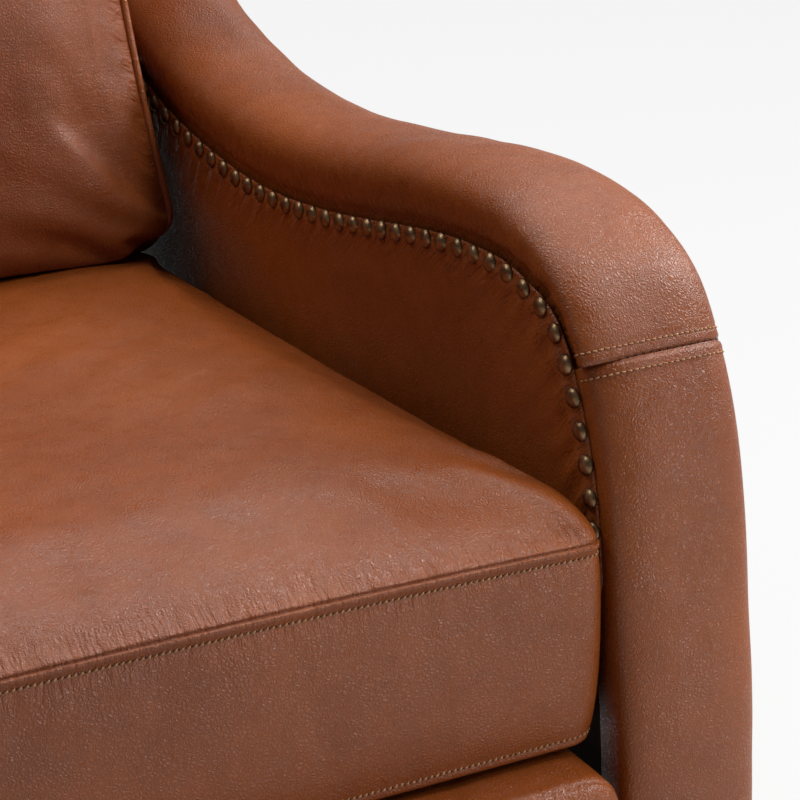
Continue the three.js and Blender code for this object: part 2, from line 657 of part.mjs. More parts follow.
// Legrest: a plywood board, its padded front and the two brackets behind it.
const restGap = 7;                                   // to the arms' inner faces
const restHalf = insideX - restGap;
const restDrop = 5;                                  // from the seat's underside to its top
const restRise = 20;                                 // from the frame's underside to its foot
const restTop = -seatBorder - restDrop;
const restBottom = -skirtDrop + restRise;
const restFront = -postLean;
const restBoard = 14;
const restBack = 32;
const restCorner = 30;
const restPad = restBack - restBoard - fit - restFront;
const boardInset = 10;
const restMidZ = (restTop + restBottom) / 2;
const restHalfZ = (restTop - restBottom) / 2;
const legrest = new THREE.Group();
legrest.position.set(0, restBack - restBoard - fit, restMidZ);
legrest.rotation.x = Math.PI / 2;
front.add(legrest);
const restCrown = 12;
const restBulge = 2;
const restTuck = 4;
const restSide = restPad - restCrown;
const restOutline = drawnIn(restHalf - restBulge, restHalfZ - restBulge, restCorner,
  restBulge, cornerSteps, sideSteps);
addMesh(legrest, 'legrest_pad', pillow(restOutline, [
  { height: 0, out: -restTuck },
  { height: restSide * 0.15, out: 0 },
  { height: restSide * 0.6, out: restBulge },
  { height: restSide, out: -restTuck * 0.75 },
  ...crownLevels(restSide, restCrown)]), leather);
const boardRing = roundedRectangle(restHalf - boardInset, restHalfZ - boardInset,
  restCorner - boardInset, cornerSteps);
addMesh(legrest, 'legrest_board', loft([-restBoard - fit, -fit].map(
  (z) => boardRing.map(([a, b]) => [a, b, z]))), wood);

const bracketFlange = 34;
const bracketRise = 40;
const bracketOutline = [[restBack + fit, pivotC[1] + linkHalf], turned(pivotC, linkHalf, Math.PI / 2),
  turned(pivotC, linkHalf, Math.PI / 4), turned(pivotC, linkHalf, 0), turned(crankK, linkHalf, 0),
  turned(crankK, linkHalf, -Math.PI / 4), turned(crankK, linkHalf, -Math.PI / 2),
  [restBack + fit, crankK[1] - bracketRise]];
const bracket = joined(
  cut(joined(plate([...bracketOutline].reverse(), guideX - steel, guideX),
    block([guideX - bracketFlange, restBack + fit, crankK[1] - bracketRise],
      [guideX, restBack + fit + steel, pivotC[1] + linkHalf])),
  pin(pivotC, boreRadius, guideX - steel - overrun, guideX + overrun)),
  pin(crankK, studRadius, guideX - steel - through, guideX - steel / 2));
addPair(front, 'legrest_bracket', bracket, blackSteel);

// Back: built upright in its own group, which leans by the rake. Its origin is the cushion's
// foot, with +Z up the face and +Y into the back.
const backFootZ = 8;
const backSide = 6;                                  // from the wings' inner faces
const backHalf = insideX - backSide;
const backHeight = 545;
const backThick = 132;
const backCrown = 22;
const backCorner = 26;
const backFrameThick = 26;
const backFrameSide = 26;                            // from the cushion's side to the frame
const backFrameHalf = backHalf - backFrameSide;
const backRail = 60;
const backTail = 100;
const backSkin = 12;
const back = new THREE.Group();
back.position.set(0, seatDepth, backFootZ);
back.rotation.x = -rake;
front.add(back);
const cushionSide = backThick - backCrown;
const weltOut = 3;
const backBulge = 1;
const backPull = 16;
const backTuck = 4;
const backOutline = drawnIn(backHalf - weltOut, backHeight / 2 - weltOut, backCorner,
  backPull, cornerSteps, sideSteps);
const backPillow = pillow(backOutline, [
  { height: 0, out: -backTuck },
  { height: cushionSide * 0.2, out: 0 },
  { height: cushionSide * 0.6, out: backBulge },
  { height: cushionSide * 0.93, out: -backBulge },
  { height: cushionSide * 0.96, out: weltOut },
  { height: cushionSide * 1.02, out: weltOut },
  { height: cushionSide * 1.03, out: -backBulge },
  ...crownLevels(cushionSide, backCrown)]);
backPillow.rotateX(Math.PI / 2);
backPillow.translate(0, backThick, backHeight / 2);
addMesh(back, 'back_cushion', backPillow, leather);
const frameY0 = backThick + fit;
const frameY1 = frameY0 + backFrameThick;
const frameTop = backHeight - backSkin - fit;
const ladder = (z0, z1) => block([-backFrameHalf + backRail, frameY0 - overrun, z0],
  [backFrameHalf - backRail, frameY1 + overrun, z1]);
const ladderMid = (frameTop - backTail) / 2;
addMesh(back, 'back_frame', cut(
  block([-backFrameHalf, frameY0, -backTail], [backFrameHalf, frameY1, frameTop]),
  ladder(-backTail + backRail, ladderMid - backRail / 2),
  ladder(ladderMid + backRail / 2, frameTop - backRail)), beech);
// The outside back is a shallow tray that wraps the frame's sides and top.
const skinRing = roundedRectangle(backHalf, (backHeight + backTail) / 2, backCorner, cornerSteps);
const trayDepth = backFrameThick + fit + backSkin;
const skinLevels = [[0, 0], [trayDepth - backSkin / 3, 0], [trayDepth, backSkin / 2]];
const tray = loft(skinLevels.map(([z, inset]) => skinRing.map(
  ([a, b]) => [a * (1 - inset / backHalf), b * (1 - 2 * inset / backHeight), z])));
tray.rotateX(-Math.PI / 2);
tray.translate(0, frameY0, (backHeight - backTail) / 2);
addMesh(back, 'outside_back', cut(tray, block(
  [-backHalf + backSkin, frameY0 - overrun, -backTail - overrun],
  [backHalf - backSkin, frameY1 + fit, frameTop + fit])), leatherDark);

// Back pivots: plates on the seat frame, and brackets on the back frame that turn in them.
const pivotInset = 8;                                // before the cushion's rear end
const pivotRise = 30;                                // above the seat's underside
const pivotBack = [seatLength - pivotInset, pivotRise - seatBorder];
const hingeX0 = seatFrameHalf + fit;
const hingeLength = 90;
const backPinRadius = 6;
const eye = (angle) => turned(pivotBack, 2 * linkHalf, angle * Math.PI);
const seatFrameTop = -seatBorder + seatFrameHeight;
const hingeOutline = [[seatFrameRear - hingeLength, -seatBorder], [seatFrameRear - hingeLength, seatFrameTop],
  eye(0.5), eye(0.25), eye(0), eye(-0.25), eye(-0.5), [seatFrameRear, -seatBorder]];
addPair(seat, 'hinge_plate', cut(plate([...hingeOutline].reverse(), hingeX0, hingeX0 + steel),
  pin(pivotBack, backPinRadius + fit, hingeX0 - overrun, hingeX0 + steel + overrun)), blackSteel);

const arm = (y, z) => {
  const point = new THREE.Vector3(0, y, z).applyAxisAngle(new THREE.Vector3(1, 0, 0), -rake);
  return [seatDepth + point.y, backFootZ + point.z];
};
const armInset = 8;
const armLow = -backTail + armInset;
const armHigh = 70;
const armBend = [seatLength + overrun, pivotBack[1] + 2 * linkHalf];
const bracketOutside = backFrameHalf + fit + steel;
const backArm = plate([
  arm(frameY1 - fit, armHigh), arm(frameY1 - fit, armLow), arm(frameY0 + fit, armLow),
  eye(-0.75), eye(1), eye(0.75), eye(0.5), armBend,
  arm(frameY0 + fit, -seatBorder / 2), arm(frameY0 + fit, armHigh),
].reverse(), backFrameHalf + fit, bracketOutside);
addPair(front, 'back_bracket', joined(backArm,
  pin(pivotBack, backPinRadius, backFrameHalf + fit, hingeX0 + steel + studProud)), blackSteel);

chair.updateMatrixWorld(true);
export default chair;
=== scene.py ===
# %% [markdown]
# # A reclining wingback armchair in leather
# The chair is a fixed frame of two padded sides, a boxed seat, a back between the wings and a
# legrest under the seat. The rigid skeleton is already made, to size, and it loads first. This
# script dresses it: leather skins, padding, seams, stitches, nails and finishes. Everything is in
# metres, with +Z up, the sitter facing -Y and +X to the right of the picture.

# %% Load the skeleton and keep its size
import json
import math

import bmesh
import bpy
import numpy as np
from mathutils import Matrix, Vector


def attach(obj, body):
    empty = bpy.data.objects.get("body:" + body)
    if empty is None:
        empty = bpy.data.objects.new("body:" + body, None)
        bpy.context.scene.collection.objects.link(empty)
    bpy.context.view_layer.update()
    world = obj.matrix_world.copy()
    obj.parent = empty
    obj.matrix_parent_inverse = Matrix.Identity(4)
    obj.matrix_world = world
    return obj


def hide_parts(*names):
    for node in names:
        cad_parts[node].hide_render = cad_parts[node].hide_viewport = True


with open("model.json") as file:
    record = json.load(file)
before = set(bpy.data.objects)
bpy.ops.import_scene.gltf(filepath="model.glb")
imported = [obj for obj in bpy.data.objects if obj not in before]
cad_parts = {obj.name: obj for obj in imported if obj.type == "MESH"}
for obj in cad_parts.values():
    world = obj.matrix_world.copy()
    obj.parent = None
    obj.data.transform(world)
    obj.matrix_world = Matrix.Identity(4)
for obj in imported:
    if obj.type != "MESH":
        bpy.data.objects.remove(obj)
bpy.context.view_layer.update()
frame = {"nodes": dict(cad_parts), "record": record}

# %% [markdown]
# ## Camera and studio
# The view is a close one of the right arm and the seat's corner, from a little above. A long lens
# keeps the arm's lines nearly parallel. The camera's place and turn were worked out from the
# spacing of the nails and from the seat's straight front edges, so they are given as numbers.

# %% The camera
focal_length, sensor_width, camera_roll = 131.4, 36, -0.0029
camera_place, camera_forward = (-0.5196, -1.6155, 1.1226), (0.44538, 0.81471, -0.37133)
camera_data = bpy.data.cameras.new("camera")
camera_data.sensor_width = sensor_width
camera_data.lens = focal_length
camera = bpy.data.objects.new("camera", camera_data)
bpy.context.scene.collection.objects.link(camera)
forward = Vector(camera_forward).normalized()
sideways = forward.cross(Vector((0, 0, 1))).normalized()
right = sideways * math.cos(camera_roll) + sideways.cross(forward) * math.sin(camera_roll)
upward = right.cross(forward)
turn = Matrix((right, upward, -forward)).transposed().to_4x4()
camera.matrix_world = Matrix.Translation(camera_place) @ turn
bpy.context.scene.camera = camera
bpy.context.scene.view_settings.view_transform = "Standard"
print("camera", tuple(round(v, 3) for v in camera.location))

# %% [markdown]
# Two helpers write shader nodes: one adds a node and sets or links its inputs by name, the other
# is a step of arithmetic.


# %% Nodes in one call
def add(tree, kind, settings=None, **inputs):
    """A node with its settings, and its inputs set to values or linked to other sockets."""
    node = tree.nodes.new(kind)
    for key, value in (settings or {}).items():
        setattr(node, key, value)
    for key, value in inputs.items():
        socket = node.inputs[int(key[1:])] if key[0] == "i" and key[1:].isdigit() \
            else node.inputs[key.replace("_", " ")]
        if isinstance(value, bpy.types.NodeSocket):
            tree.links.new(value, socket)
        else:
            socket.default_value = value
    return node


def maths(tree, operation, first, second=None, third=None):
    """One arithmetic step on values, and its output socket."""
    values = {"i0": first, "i1": second, "i2": third}
    return add(tree, "ShaderNodeMath", {"operation": operation},
               **{k: v for k, v in values.items() if v is not None}).outputs[0]


# %% [markdown]
# The floor is white for the camera and for first reflections, and the world for the camera only.
# The light that falls on the chair comes from seven soft boxes and a dim, even world, so leather
# renders about as its colour is written. The floor still shows a faint shadow.


# %% The floor, the world and the lamps
white = (1, 1, 1, 1)
floor_grey = (0.5, 0.5, 0.5, 1)
floor_seen, floor_mirrored = 0.86, 0.7
world_light, world_seen = 0.13, 1.0


def new_material(name):
    """An empty node material, and its tree."""
    material = bpy.data.materials.new(name)
    material.use_nodes = True
    material.node_tree.nodes.clear()
    return material, material.node_tree


def seen_share(tree, share, gloss_share):
    """`share` for camera and transmission rays, a smaller part of it for glossy rays, and zero
    for the rest. Only a first reflection counts, because two skins that face each other across
    a narrow gap would pass the white floor on between them as a grey haze."""
    path = add(tree, "ShaderNodeLightPath").outputs
    first = maths(tree, "LESS_THAN", path["Ray Depth"], 1.5)
    glossy = maths(tree, "MULTIPLY", maths(tree, "MULTIPLY", path["Is Glossy Ray"], first),
                   gloss_share)
    seen = maths(tree, "MAXIMUM", path["Is Camera Ray"], glossy)
    seen = maths(tree, "MAXIMUM", seen, path["Is Transmission Ray"])
    return maths(tree, "MULTIPLY", seen, share)


floor_material, tree = new_material("floor")
plain = add(tree, "ShaderNodeBsdfDiffuse", Color=floor_grey)
glow = add(tree, "ShaderNodeEmission", Color=white)
mix = add(tree, "ShaderNodeMixShader", i0=seen_share(tree, floor_seen, floor_mirrored),
          i1=plain.outputs[0], i2=glow.outputs[0])
add(tree, "ShaderNodeOutputMaterial", Surface=mix.outputs[0])

floor_mesh = bpy.data.meshes.new("floor")
floor_reach = 12.0
floor_mesh.from_pydata([(x * floor_reach, y * floor_reach, 0) for x, y in (
    (-1, -1), (1, -1), (1, 1), (-1, 1))], [], [(0, 1, 2, 3)])
floor = bpy.data.objects.new("floor", floor_mesh)
floor_mesh.materials.append(floor_material)
bpy.context.scene.collection.objects.link(floor)

world = bpy.data.worlds.new("studio")
bpy.context.scene.world = world
world.use_nodes = True
tree = world.node_tree
tree.nodes.clear()
dim = add(tree, "ShaderNodeBackground", Color=white, Strength=world_light)
bright = add(tree, "ShaderNodeBackground", Color=white, Strength=world_seen)
mix = add(tree, "ShaderNodeMixShader", i1=dim.outputs[0], i2=bright.outputs[0],
          i0=add(tree, "ShaderNodeLightPath").outputs["Is Camera Ray"])
add(tree, "ShaderNodeOutputWorld", Surface=mix.outputs[0])


def softbox(name, place, aim, size, power):
    """A rectangular area lamp at `place` that faces the point `aim`."""
    lamp = bpy.data.lights.new(name, "AREA")
    lamp.shape = "RECTANGLE"
    lamp.size, lamp.size_y = size
    lamp.energy = power
    holder = bpy.data.objects.new(name, lamp)
    bpy.context.scene.collection.objects.link(holder)
    place = Vector(place)
    holder.matrix_world = Matrix.Translation(place) @ (
        (Vector(aim) - place).to_track_quat("-Z", "Y").to_matrix().to_4x4())


# Each lamp's place, the point it faces, its width and height, and its power in watts.
lamps = {
    "overhead": ((1.0, -0.7, 2.4), (0.2, -0.3, 0.6), (0.5, 0.5), 15),
    "arm_front": ((1.35, -1.7, 2.1), (0.3, -0.4, 0.6), (0.45, 0.45), 8),
    "left_top": ((-0.9, 0.5, 2.3), (0.3, -0.1, 0.6), (0.5, 0.5), 10),
    "rear_top": ((0.3, 0.8, 3.0), (0, 0, 0.6), (1.3, 1.3), 32),
    "right_front": ((1.45, -2.6, 0.55), (0.2, -0.3, 0.45), (0.8, 0.6), 16),
    "right_high": ((2.5, -0.3, 1.9), (0.2, 0, 0.7), (1.2, 1.2), 56),
    "right_rear": ((2.2, 1.9, 2.4), (0.2, 0, 0.7), (1.2, 1.6), 14)}
for lamp_name, lamp_values in lamps.items():
    softbox(lamp_name, *lamp_values)
print("studio ready")

# %% [markdown]
# ## Surfaces from grids
# Every new piece is a surface of two parameters, worked out with numpy as one array of points,
# rows by columns. One helper turns such a grid into a closed mesh, and it can wrap the columns
# round into a tube and close the ends with fans. Another merges several grids into one piece.
# The pieces of the right side are mirrored to the left, with their faces turned to point out.


# %% Grids to meshes
def grid_faces(rows, columns, wrap=False, start=0):
    """Quads between neighbouring rows and columns; `wrap` joins the last column to the first."""
    last = columns if wrap else columns - 1
    row, column = np.meshgrid(np.arange(rows - 1), np.arange(last), indexing="ij")
    nxt = (column + 1) % columns
    quads = np.stack([row * columns + column, row * columns + nxt,
                      (row + 1) * columns + nxt, (row + 1) * columns + column], -1)
    return quads.reshape(-1, 4) + start


def tube_mesh(rings, caps=True):
    """Points and faces of a closed tube through rings (rows, columns, 3), with fans as caps."""
    rows, columns = rings.shape[:2]
    points = rings.reshape(-1, 3)
    faces = [tuple(face) for face in grid_faces(rows, columns, wrap=True)]
    if caps:
        first, last = rings[0].mean(0), rings[-1].mean(0)
        hub = len(points)
        points = np.vstack([points, first, last])
        ring = np.arange(columns)
        after = (ring + 1) % columns
        base = (rows - 1) * columns
        faces += [(hub, b, a) for a, b in zip(ring, after)]
        faces += [(hub + 1, base + a, base + b) for a, b in zip(ring, after)]
    return points, faces


def merged(*parts):
    """Several (points, faces) as one, with the face numbers shifted."""
    points, faces, start = [], [], 0
    for part_points, part_faces in parts:
        points.append(np.asarray(part_points, float))
        faces += [tuple(int(i) + start for i in face) for face in part_faces]
        start += len(part_points)
    return np.vstack(points), faces


def mirrored(points, faces):
    """The twin across the chair's middle: X changes sign, and each face runs the other way."""
    return np.asarray(points) * [-1, 1, 1], [tuple(face[::-1]) for face in faces]


def piece(name, points, faces, material, turn_out=False):
    """A mesh object at the origin, smooth shaded. `turn_out` makes all its faces point out."""
    mesh = bpy.data.meshes.new(name)
    mesh.from_pydata(np.asarray(points, float).tolist(), [], [tuple(map(int, f)) for f in faces])
    if turn_out:
        work = bmesh.new()
        work.from_mesh(mesh)
        bmesh.ops.recalc_face_normals(work, faces=work.faces)
        work.to_mesh(mesh)
        work.free()
    mesh.materials.append(material)
    mesh.polygons.foreach_set("use_smooth", np.ones(len(mesh.polygons), bool))
    mesh.update()
    made = bpy.data.objects.new(name, mesh)
    bpy.context.scene.collection.objects.link(made)
    return made


def write_seam_map(mesh, along, across):
    """The UV map "seam": each point's distance along its seam and away from it, in metres."""
    corners = np.empty(len(mesh.loops), np.int32)
    mesh.loops.foreach_get("vertex_index", corners)
    both = np.stack([np.ravel(along), np.ravel(across)], 1)
    mesh.uv_layers.new(name="seam").data.foreach_set(
        "uv", both[corners].astype(np.float32).ravel())


def dress(made, body, stands_for=()):
    """Attaches a piece to the body it rides on and hides the nodes that it stands for."""
    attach(made, body)
    if stands_for:
        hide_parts(*stands_for)
    return made


def both_sides(name, points, faces, material, body, slot, stands_for=(), fill=None,
               seam_map=None, **how):
    """The right piece and its mirrored twin, each standing for its own side's nodes."""
    pair = []
    for side, (where, which) in {"right": (points, faces), "left": mirrored(points, faces)}.items():
        made = piece(f"{name}_{side}", where, which, material, **how)
        if seam_map:
            write_seam_map(made.data, *seam_map)
        pair.append(dress(made, body, [f"{node}_{side}" for node in stands_for]))
    print(name, "faces a side:", len(pair[0].data.polygons))


# %% [markdown]
# Leather is never quite even, so shapes get a smooth random field: a sum of waves with fixed
# random directions, lengths and phases. The same seed always gives the same field.


# %% Smooth random fields
def waves(points, length, seed, count=24):
    """A smooth field from about -1 to 1: cosines of position, near the given wave length."""
    source = np.random.default_rng(seed)
    directions = source.normal(size=(count, 3))
    directions /= np.linalg.norm(directions, axis=1, keepdims=True)
    sizes = 2 * np.pi / (length * source.uniform(0.6, 1.7, count))
    phases = source.uniform(0, 2 * np.pi, count)
    angles = np.asarray(points) @ (directions * sizes[:, None]).T + phases
    return np.cos(angles).sum(-1) / math.sqrt(count)


def uneven(points, *layers):
    """Random swell in layers, each given as (height, wave length, seed)."""
    return sum(height * waves(points, length, seed) for height, length, seed in layers)


def smooth_step(value, low, high):
    """0 below low, 1 above high, with a level start and end between them."""
    share = np.clip((np.asarray(value, float) - low) / (high - low), 0, 1)
    return share * share * (3 - 2 * share)


def bump_at(value, width):
    """A soft bump of height 1 at zero, that is gone at a distance of about 2 widths."""
    return np.exp(-(np.asarray(value, float) / width) ** 2)


def edge_drop(distance, radius):
    """1 at an edge and 0 from `radius` on, along a quarter circle: an edge that rounds off."""
    left = 1 - np.clip(np.asarray(distance) / radius, 0, 1)
    return 1 - np.sqrt(np.clip(1 - left ** 2, 0, 1))


def fading(distance, start, full, level_to, fade):
    """Rises from 0 at `start` to 1 at `full`, and dies away past `level_to`: the natural
    exponential of the distance beyond it over `fade`, with a minus sign."""
    return smooth_step(distance, start, full) \
        * np.exp(-np.clip(distance - level_to, 0, 1) / fade)


def swell(height, reach):
    """A crown: how far a face rises inside its edge, up to `height` and mostly in `reach`."""
    return lambda distance: height * (1 - np.exp(-distance / reach))


def squared_off(value, power):
    """A cosine or sine raised to a power with its sign kept, for fuller corners."""
    return np.sign(value) * np.abs(value) ** power


def with_x(x, yz):
    """A grid of (y, z) places with an x put in front of each."""
    return np.concatenate([np.broadcast_to(x, yz.shape[:2])[..., None], yz], -1)


def repeated(faces, count, step):
    """The faces of `count` copies of a mesh that has `step` points."""
    return [tuple(np.asarray(face) + k * step) for k in range(count) for face in faces]


def grid_normals(grid):
    """Unit normals of a grid of points, from the cross product of its two directions."""
    across = np.cross(np.gradient(grid, axis=0), np.gradient(grid, axis=1))
    return across / np.maximum(np.linalg.norm(across, axis=-1, keepdims=True), 1e-12)


# %% [markdown]
# ## The chair's sizes and its crest line
# The seat's front seam is the reference for everything: places on the chair's side are given from
# it, in metres, as y to the rear and z up. The crest is one line over the post, the arm and the
# wing. Its points are shares of a few lengths, and a spline runs through them. The spline spaces
# its knots by the square root of the distance, which keeps tight bends free of loops.

# %% Sizes and the crest line
seat_half, seat_seam, seat_front = 0.265, 0.470, -0.416
seat_depth, seat_border, seat_drop = 0.516, 0.116, 0.0255
arm_width, arm_length, arm_rise = 0.089, 0.616, 0.162
wing_reach, wing_rise, rear_pad = 0.244, 0.556, 0.012
post_lean, skirt_drop, rake = 0.028, 0.335, math.radians(15)
inside_x = seat_half + 0.003
outside_x = inside_x + arm_width
arm_middle = (inside_x + outside_x) / 2
rear_y = arm_length + wing_reach - rear_pad
rear_knee = 0.035
rear_foot = rear_y - math.tan(rake) * (wing_rise + rear_knee)

post_shares = np.array([
    [-1, -1], [-1, -0.85], [-1, -0.7], [-0.96, -0.55], [-0.86, -0.42], [-0.72, -0.3],
    [-0.5, -0.18], [-0.36, -0.08]])
arm_shares = np.array([
    [-0.01, 0.01], [0, 0.2], [0.015, 0.37], [0.039, 0.57], [0.054, 0.68], [0.073, 0.78],
    [0.098, 0.865], [0.127, 0.925], [0.162, 0.97], [0.203, 0.995], [0.244, 1], [0.294, 0.993],
    [0.349, 0.97], [0.406, 0.937], [0.464, 0.9], [0.545, 0.846], [0.609, 0.815], [0.653, 0.8],
    [0.719, 0.794], [0.789, 0.805], [0.862, 0.833], [0.937, 0.886], [1, 0.957]])
wing_shares = np.array([
    [0.12, 0.023], [0.19, 0.086], [0.23, 0.178], [0.205, 0.269], [0.123, 0.365], [0.009, 0.472],
    [-0.082, 0.579], [-0.107, 0.685], [-0.057, 0.792], [0.074, 0.883], [0.27, 0.947],
    [0.49, 0.982], [0.73, 0.997], [1, 1]])
crest_points = np.vstack([
    post_shares * [post_lean, skirt_drop],
    arm_shares * [arm_length, arm_rise],
    wing_shares * [wing_reach, wing_rise - arm_rise] + [arm_length, arm_rise]])


def crest(share):
    """The spline through the crest points, at shares 0 to 1 of its spans. Each span is a cubic
    whose end slopes come from its neighbours, weighted by the knots' square-root spacing."""
    share = np.atleast_1d(np.asarray(share, float))
    knots = np.vstack([2 * crest_points[0] - crest_points[1], crest_points,
                       2 * crest_points[-1] - crest_points[-2]])
    place = np.clip(share, 0, 1) * (len(crest_points) - 1)
    span = np.minimum(place.astype(int), len(crest_points) - 2)
    t = (place - span)[:, None]
    p0, p1, p2, p3 = (knots[span + k] for k in range(4))
    d0, d1, d2 = (np.sqrt(np.linalg.norm(b - a, axis=1))[:, None]
                  for a, b in ((p0, p1), (p1, p2), (p2, p3)))
    start = ((p1 - p0) / d0 - (p2 - p0) / (d0 + d1) + (p2 - p1) / d1) * d1
    end = ((p2 - p1) / d1 - (p3 - p1) / (d1 + d2) + (p3 - p2) / d2) * d1
    return (p1 + start * t + (3 * (p2 - p1) - 2 * start - end) * t ** 2
            + (2 * (p1 - p2) + start + end) * t ** 3)


def crest_out(share):
    """The unit direction out of the padding: the crest's tangent turned a quarter."""
    step = 1e-4
    along = crest(np.clip(share + step, 0, 1)) - crest(np.clip(share - step, 0, 1))
    along /= np.linalg.norm(along, axis=1, keepdims=True)
    return np.stack([-along[:, 1], along[:, 0]], 1)


pad_depth, nail_inset, nail_pitch = 0.061, 0.008, 0.0185
depth_table = np.array([
    [0, 0.56], [0.17, 0.56], [0.25, 0.59], [0.29, 0.67], [0.34, 0.8], [0.4, 0.87], [0.5, 0.97],
    [0.6, 1], [0.66, 0.95], [0.74, 0.68], [1, 0.68]])
seam_share = (len(post_shares) + 3) / (len(crest_points) - 1)


def depth_of(share):
    """How deep the padding is at a share of the crest, read from the table in straight steps."""
    return np.interp(share, depth_table[:, 0], depth_table[:, 1]) * pad_depth


def above_edge(share, height):
    """The point that lies `height` outside the padding's straight lower edge, as (y, z)."""
    share = np.atleast_1d(np.asarray(share, float))
    inward = (depth_of(share) - height)[:, None]
    return crest(share) - crest_out(share) * inward


def world_yz(yz):
    """Side places from the seat's front seam, moved to the chair's own frame."""
    return np.asarray(yz) + [seat_front, seat_seam]


def along_lengths(path):
    """The distance from a path's first point to each of its points."""
    return np.concatenate([[0], np.cumsum(np.linalg.norm(np.diff(path, axis=0), axis=1))])


def at_lengths(path, lengths):
    """Points at the given distances along a path, by straight interpolation."""
    own = along_lengths(path)
    return np.stack([np.interp(lengths, own, path[:, k]) for k in range(path.shape[1])], 1)


print("crest from", crest(0)[0].round(3), "by the seam", crest(seam_share)[0].round(3),
      "to", crest(1)[0].round(3))

# %% [markdown]
# ## Shared effects
# Four effects are node groups with named inputs: pebbled grain, broad tone, seam creases and wood
# grain. They read positions in metres, so the grain keeps its real size on every piece. A group
# gives only values; the shader stays in its material.


# %% Groups and ranges
def node_group(name, inputs, outputs):
    """A shader group with float or vector sockets; returns its tree and its end nodes."""
    tree = bpy.data.node_groups.new(name, "ShaderNodeTree")
    for socket, kind, value in inputs:
        made = tree.interface.new_socket(name=socket, in_out="INPUT", socket_type=kind)
        if value is not None:
            made.default_value = value
    for socket, kind in outputs:
        tree.interface.new_socket(name=socket, in_out="OUTPUT", socket_type=kind)
    return tree, tree.nodes.new("NodeGroupInput"), tree.nodes.new("NodeGroupOutput")


def ranged(tree, value, low, high, start=0.0, end=1.0):
    """A value carried smoothly from the range low-high to the range start-end."""
    return add(tree, "ShaderNodeMapRange", {"interpolation_type": "SMOOTHSTEP"}, i0=value,
               i1=low, i2=high, i3=start, i4=end).outputs[0]


FLOAT, VECTOR = "NodeSocketFloat", "NodeSocketVector"

# %% [markdown]
# Pebbled grain is a sheet of rounded cells with narrow creases. The distance to the nearest cell
# edge gives both: it rises quickly from the creases and then stays level. A slow noise bends the
# cells first, so no two are alike, and a second, finer set breaks the big ones up.

# %% The pebbled grain group
tree, start, end = node_group(
    "pebbled_grain",
    [("Position", VECTOR, None), ("Cells per metre", FLOAT, 430.0)],
    [("Height", FLOAT), ("Crease", FLOAT)])
place, density = start.outputs["Position"], start.outputs["Cells per metre"]
drift = add(tree, "ShaderNodeTexNoise", Vector=place, Scale=160.0, Detail=2.0)
shifted = add(tree, "ShaderNodeVectorMath", {"operation": "MULTIPLY_ADD"},
              i0=drift.outputs["Color"], i1=(0.0042, 0.0042, 0.0042), i2=place)
cells = add(tree, "ShaderNodeTexVoronoi", {"feature": "DISTANCE_TO_EDGE"},
            Vector=shifted.outputs[0], Scale=density)
fine_density = maths(tree, "MULTIPLY", density, 2.1)
fine = add(tree, "ShaderNodeTexVoronoi", {"feature": "DISTANCE_TO_EDGE"},
           Vector=shifted.outputs[0], Scale=fine_density)
big = ranged(tree, cells.outputs["Distance"], 0.0, 0.34)
small = ranged(tree, fine.outputs["Distance"], 0.0, 0.3)
share = ranged(tree, add(tree, "ShaderNodeTexNoise", Vector=place, Scale=46.0,
                         Detail=2.0).outputs["Fac"], 0.35, 0.68, 0.2, 0.55)
height = maths(tree, "ADD", maths(tree, "MULTIPLY", big, maths(tree, "SUBTRACT", 1.0, share)),
               maths(tree, "MULTIPLY", small, share))
tree.links.new(height, end.inputs["Height"])
tree.links.new(ranged(tree, height, 0.75, 0.15), end.inputs["Crease"])
pebbled_grain = tree

# %% [markdown]
# Pull-up leather is lighter where it is stretched and darker where oil and handling gather. That
# tone changes over hand-sized patches, with a finer mottle inside them. The same group serves
# wood and metal, with other scales.

# %% The broad tone group
tree, start, end = node_group(
    "broad_tone",
    [("Position", VECTOR, None), ("Patches per metre", FLOAT, 6.0),
     ("Mottle per metre", FLOAT, 55.0)],
    [("Tone", FLOAT), ("Mottle", FLOAT)])
place = start.outputs["Position"]
patch = add(tree, "ShaderNodeTexNoise", Vector=place, Detail=3.0, Roughness=0.5,
            Scale=start.outputs["Patches per metre"])
mottle = add(tree, "ShaderNodeTexNoise", Vector=place, Detail=4.0, Roughness=0.6,
             Scale=start.outputs["Mottle per metre"])
tree.links.new(ranged(tree, patch.outputs["Fac"], 0.3, 0.7), end.inputs["Tone"])
tree.links.new(ranged(tree, mottle.outputs["Fac"], 0.3, 0.7), end.inputs["Mottle"])
broad_tone = tree

# %% [markdown]
# Along a seam or a row of nails the leather is drawn up in fine creases that run away from it.
# They follow the piece, so this group reads the piece's own seam map: how far along the seam,
# and how far from it, in metres. The creases are a noise stretched away from the seam, and they
# fade within the reach.

# %% The seam creases group
tree, start, end = node_group(
    "seam_creases",
    [("Position", VECTOR, None), ("Seam at", FLOAT, 0.0), ("Reach", FLOAT, 0.02),
     ("Creases per metre", FLOAT, 170.0)],
    [("Height", FLOAT), ("Near", FLOAT)])
halves = add(tree, "ShaderNodeSeparateXYZ", i0=start.outputs["Position"])
away = maths(tree, "ABSOLUTE", maths(tree, "SUBTRACT", halves.outputs[1],
                                     start.outputs["Seam at"]))
near = ranged(tree, maths(tree, "DIVIDE", away, start.outputs["Reach"]), 1.0, 0.1)
stretched = add(tree, "ShaderNodeCombineXYZ",
                i0=maths(tree, "MULTIPLY", halves.outputs[0],
                         start.outputs["Creases per metre"]),
                i1=maths(tree, "MULTIPLY", halves.outputs[1], 42.0))
creases = add(tree, "ShaderNodeTexNoise", Vector=stretched.outputs[0], Scale=1.0, Detail=2.5,
              Roughness=0.55)
folded = ranged(tree, creases.outputs["Fac"], 0.32, 0.62)
tree.links.new(maths(tree, "MULTIPLY", folded, near), end.inputs["Height"])
tree.links.new(near, end.inputs["Near"])
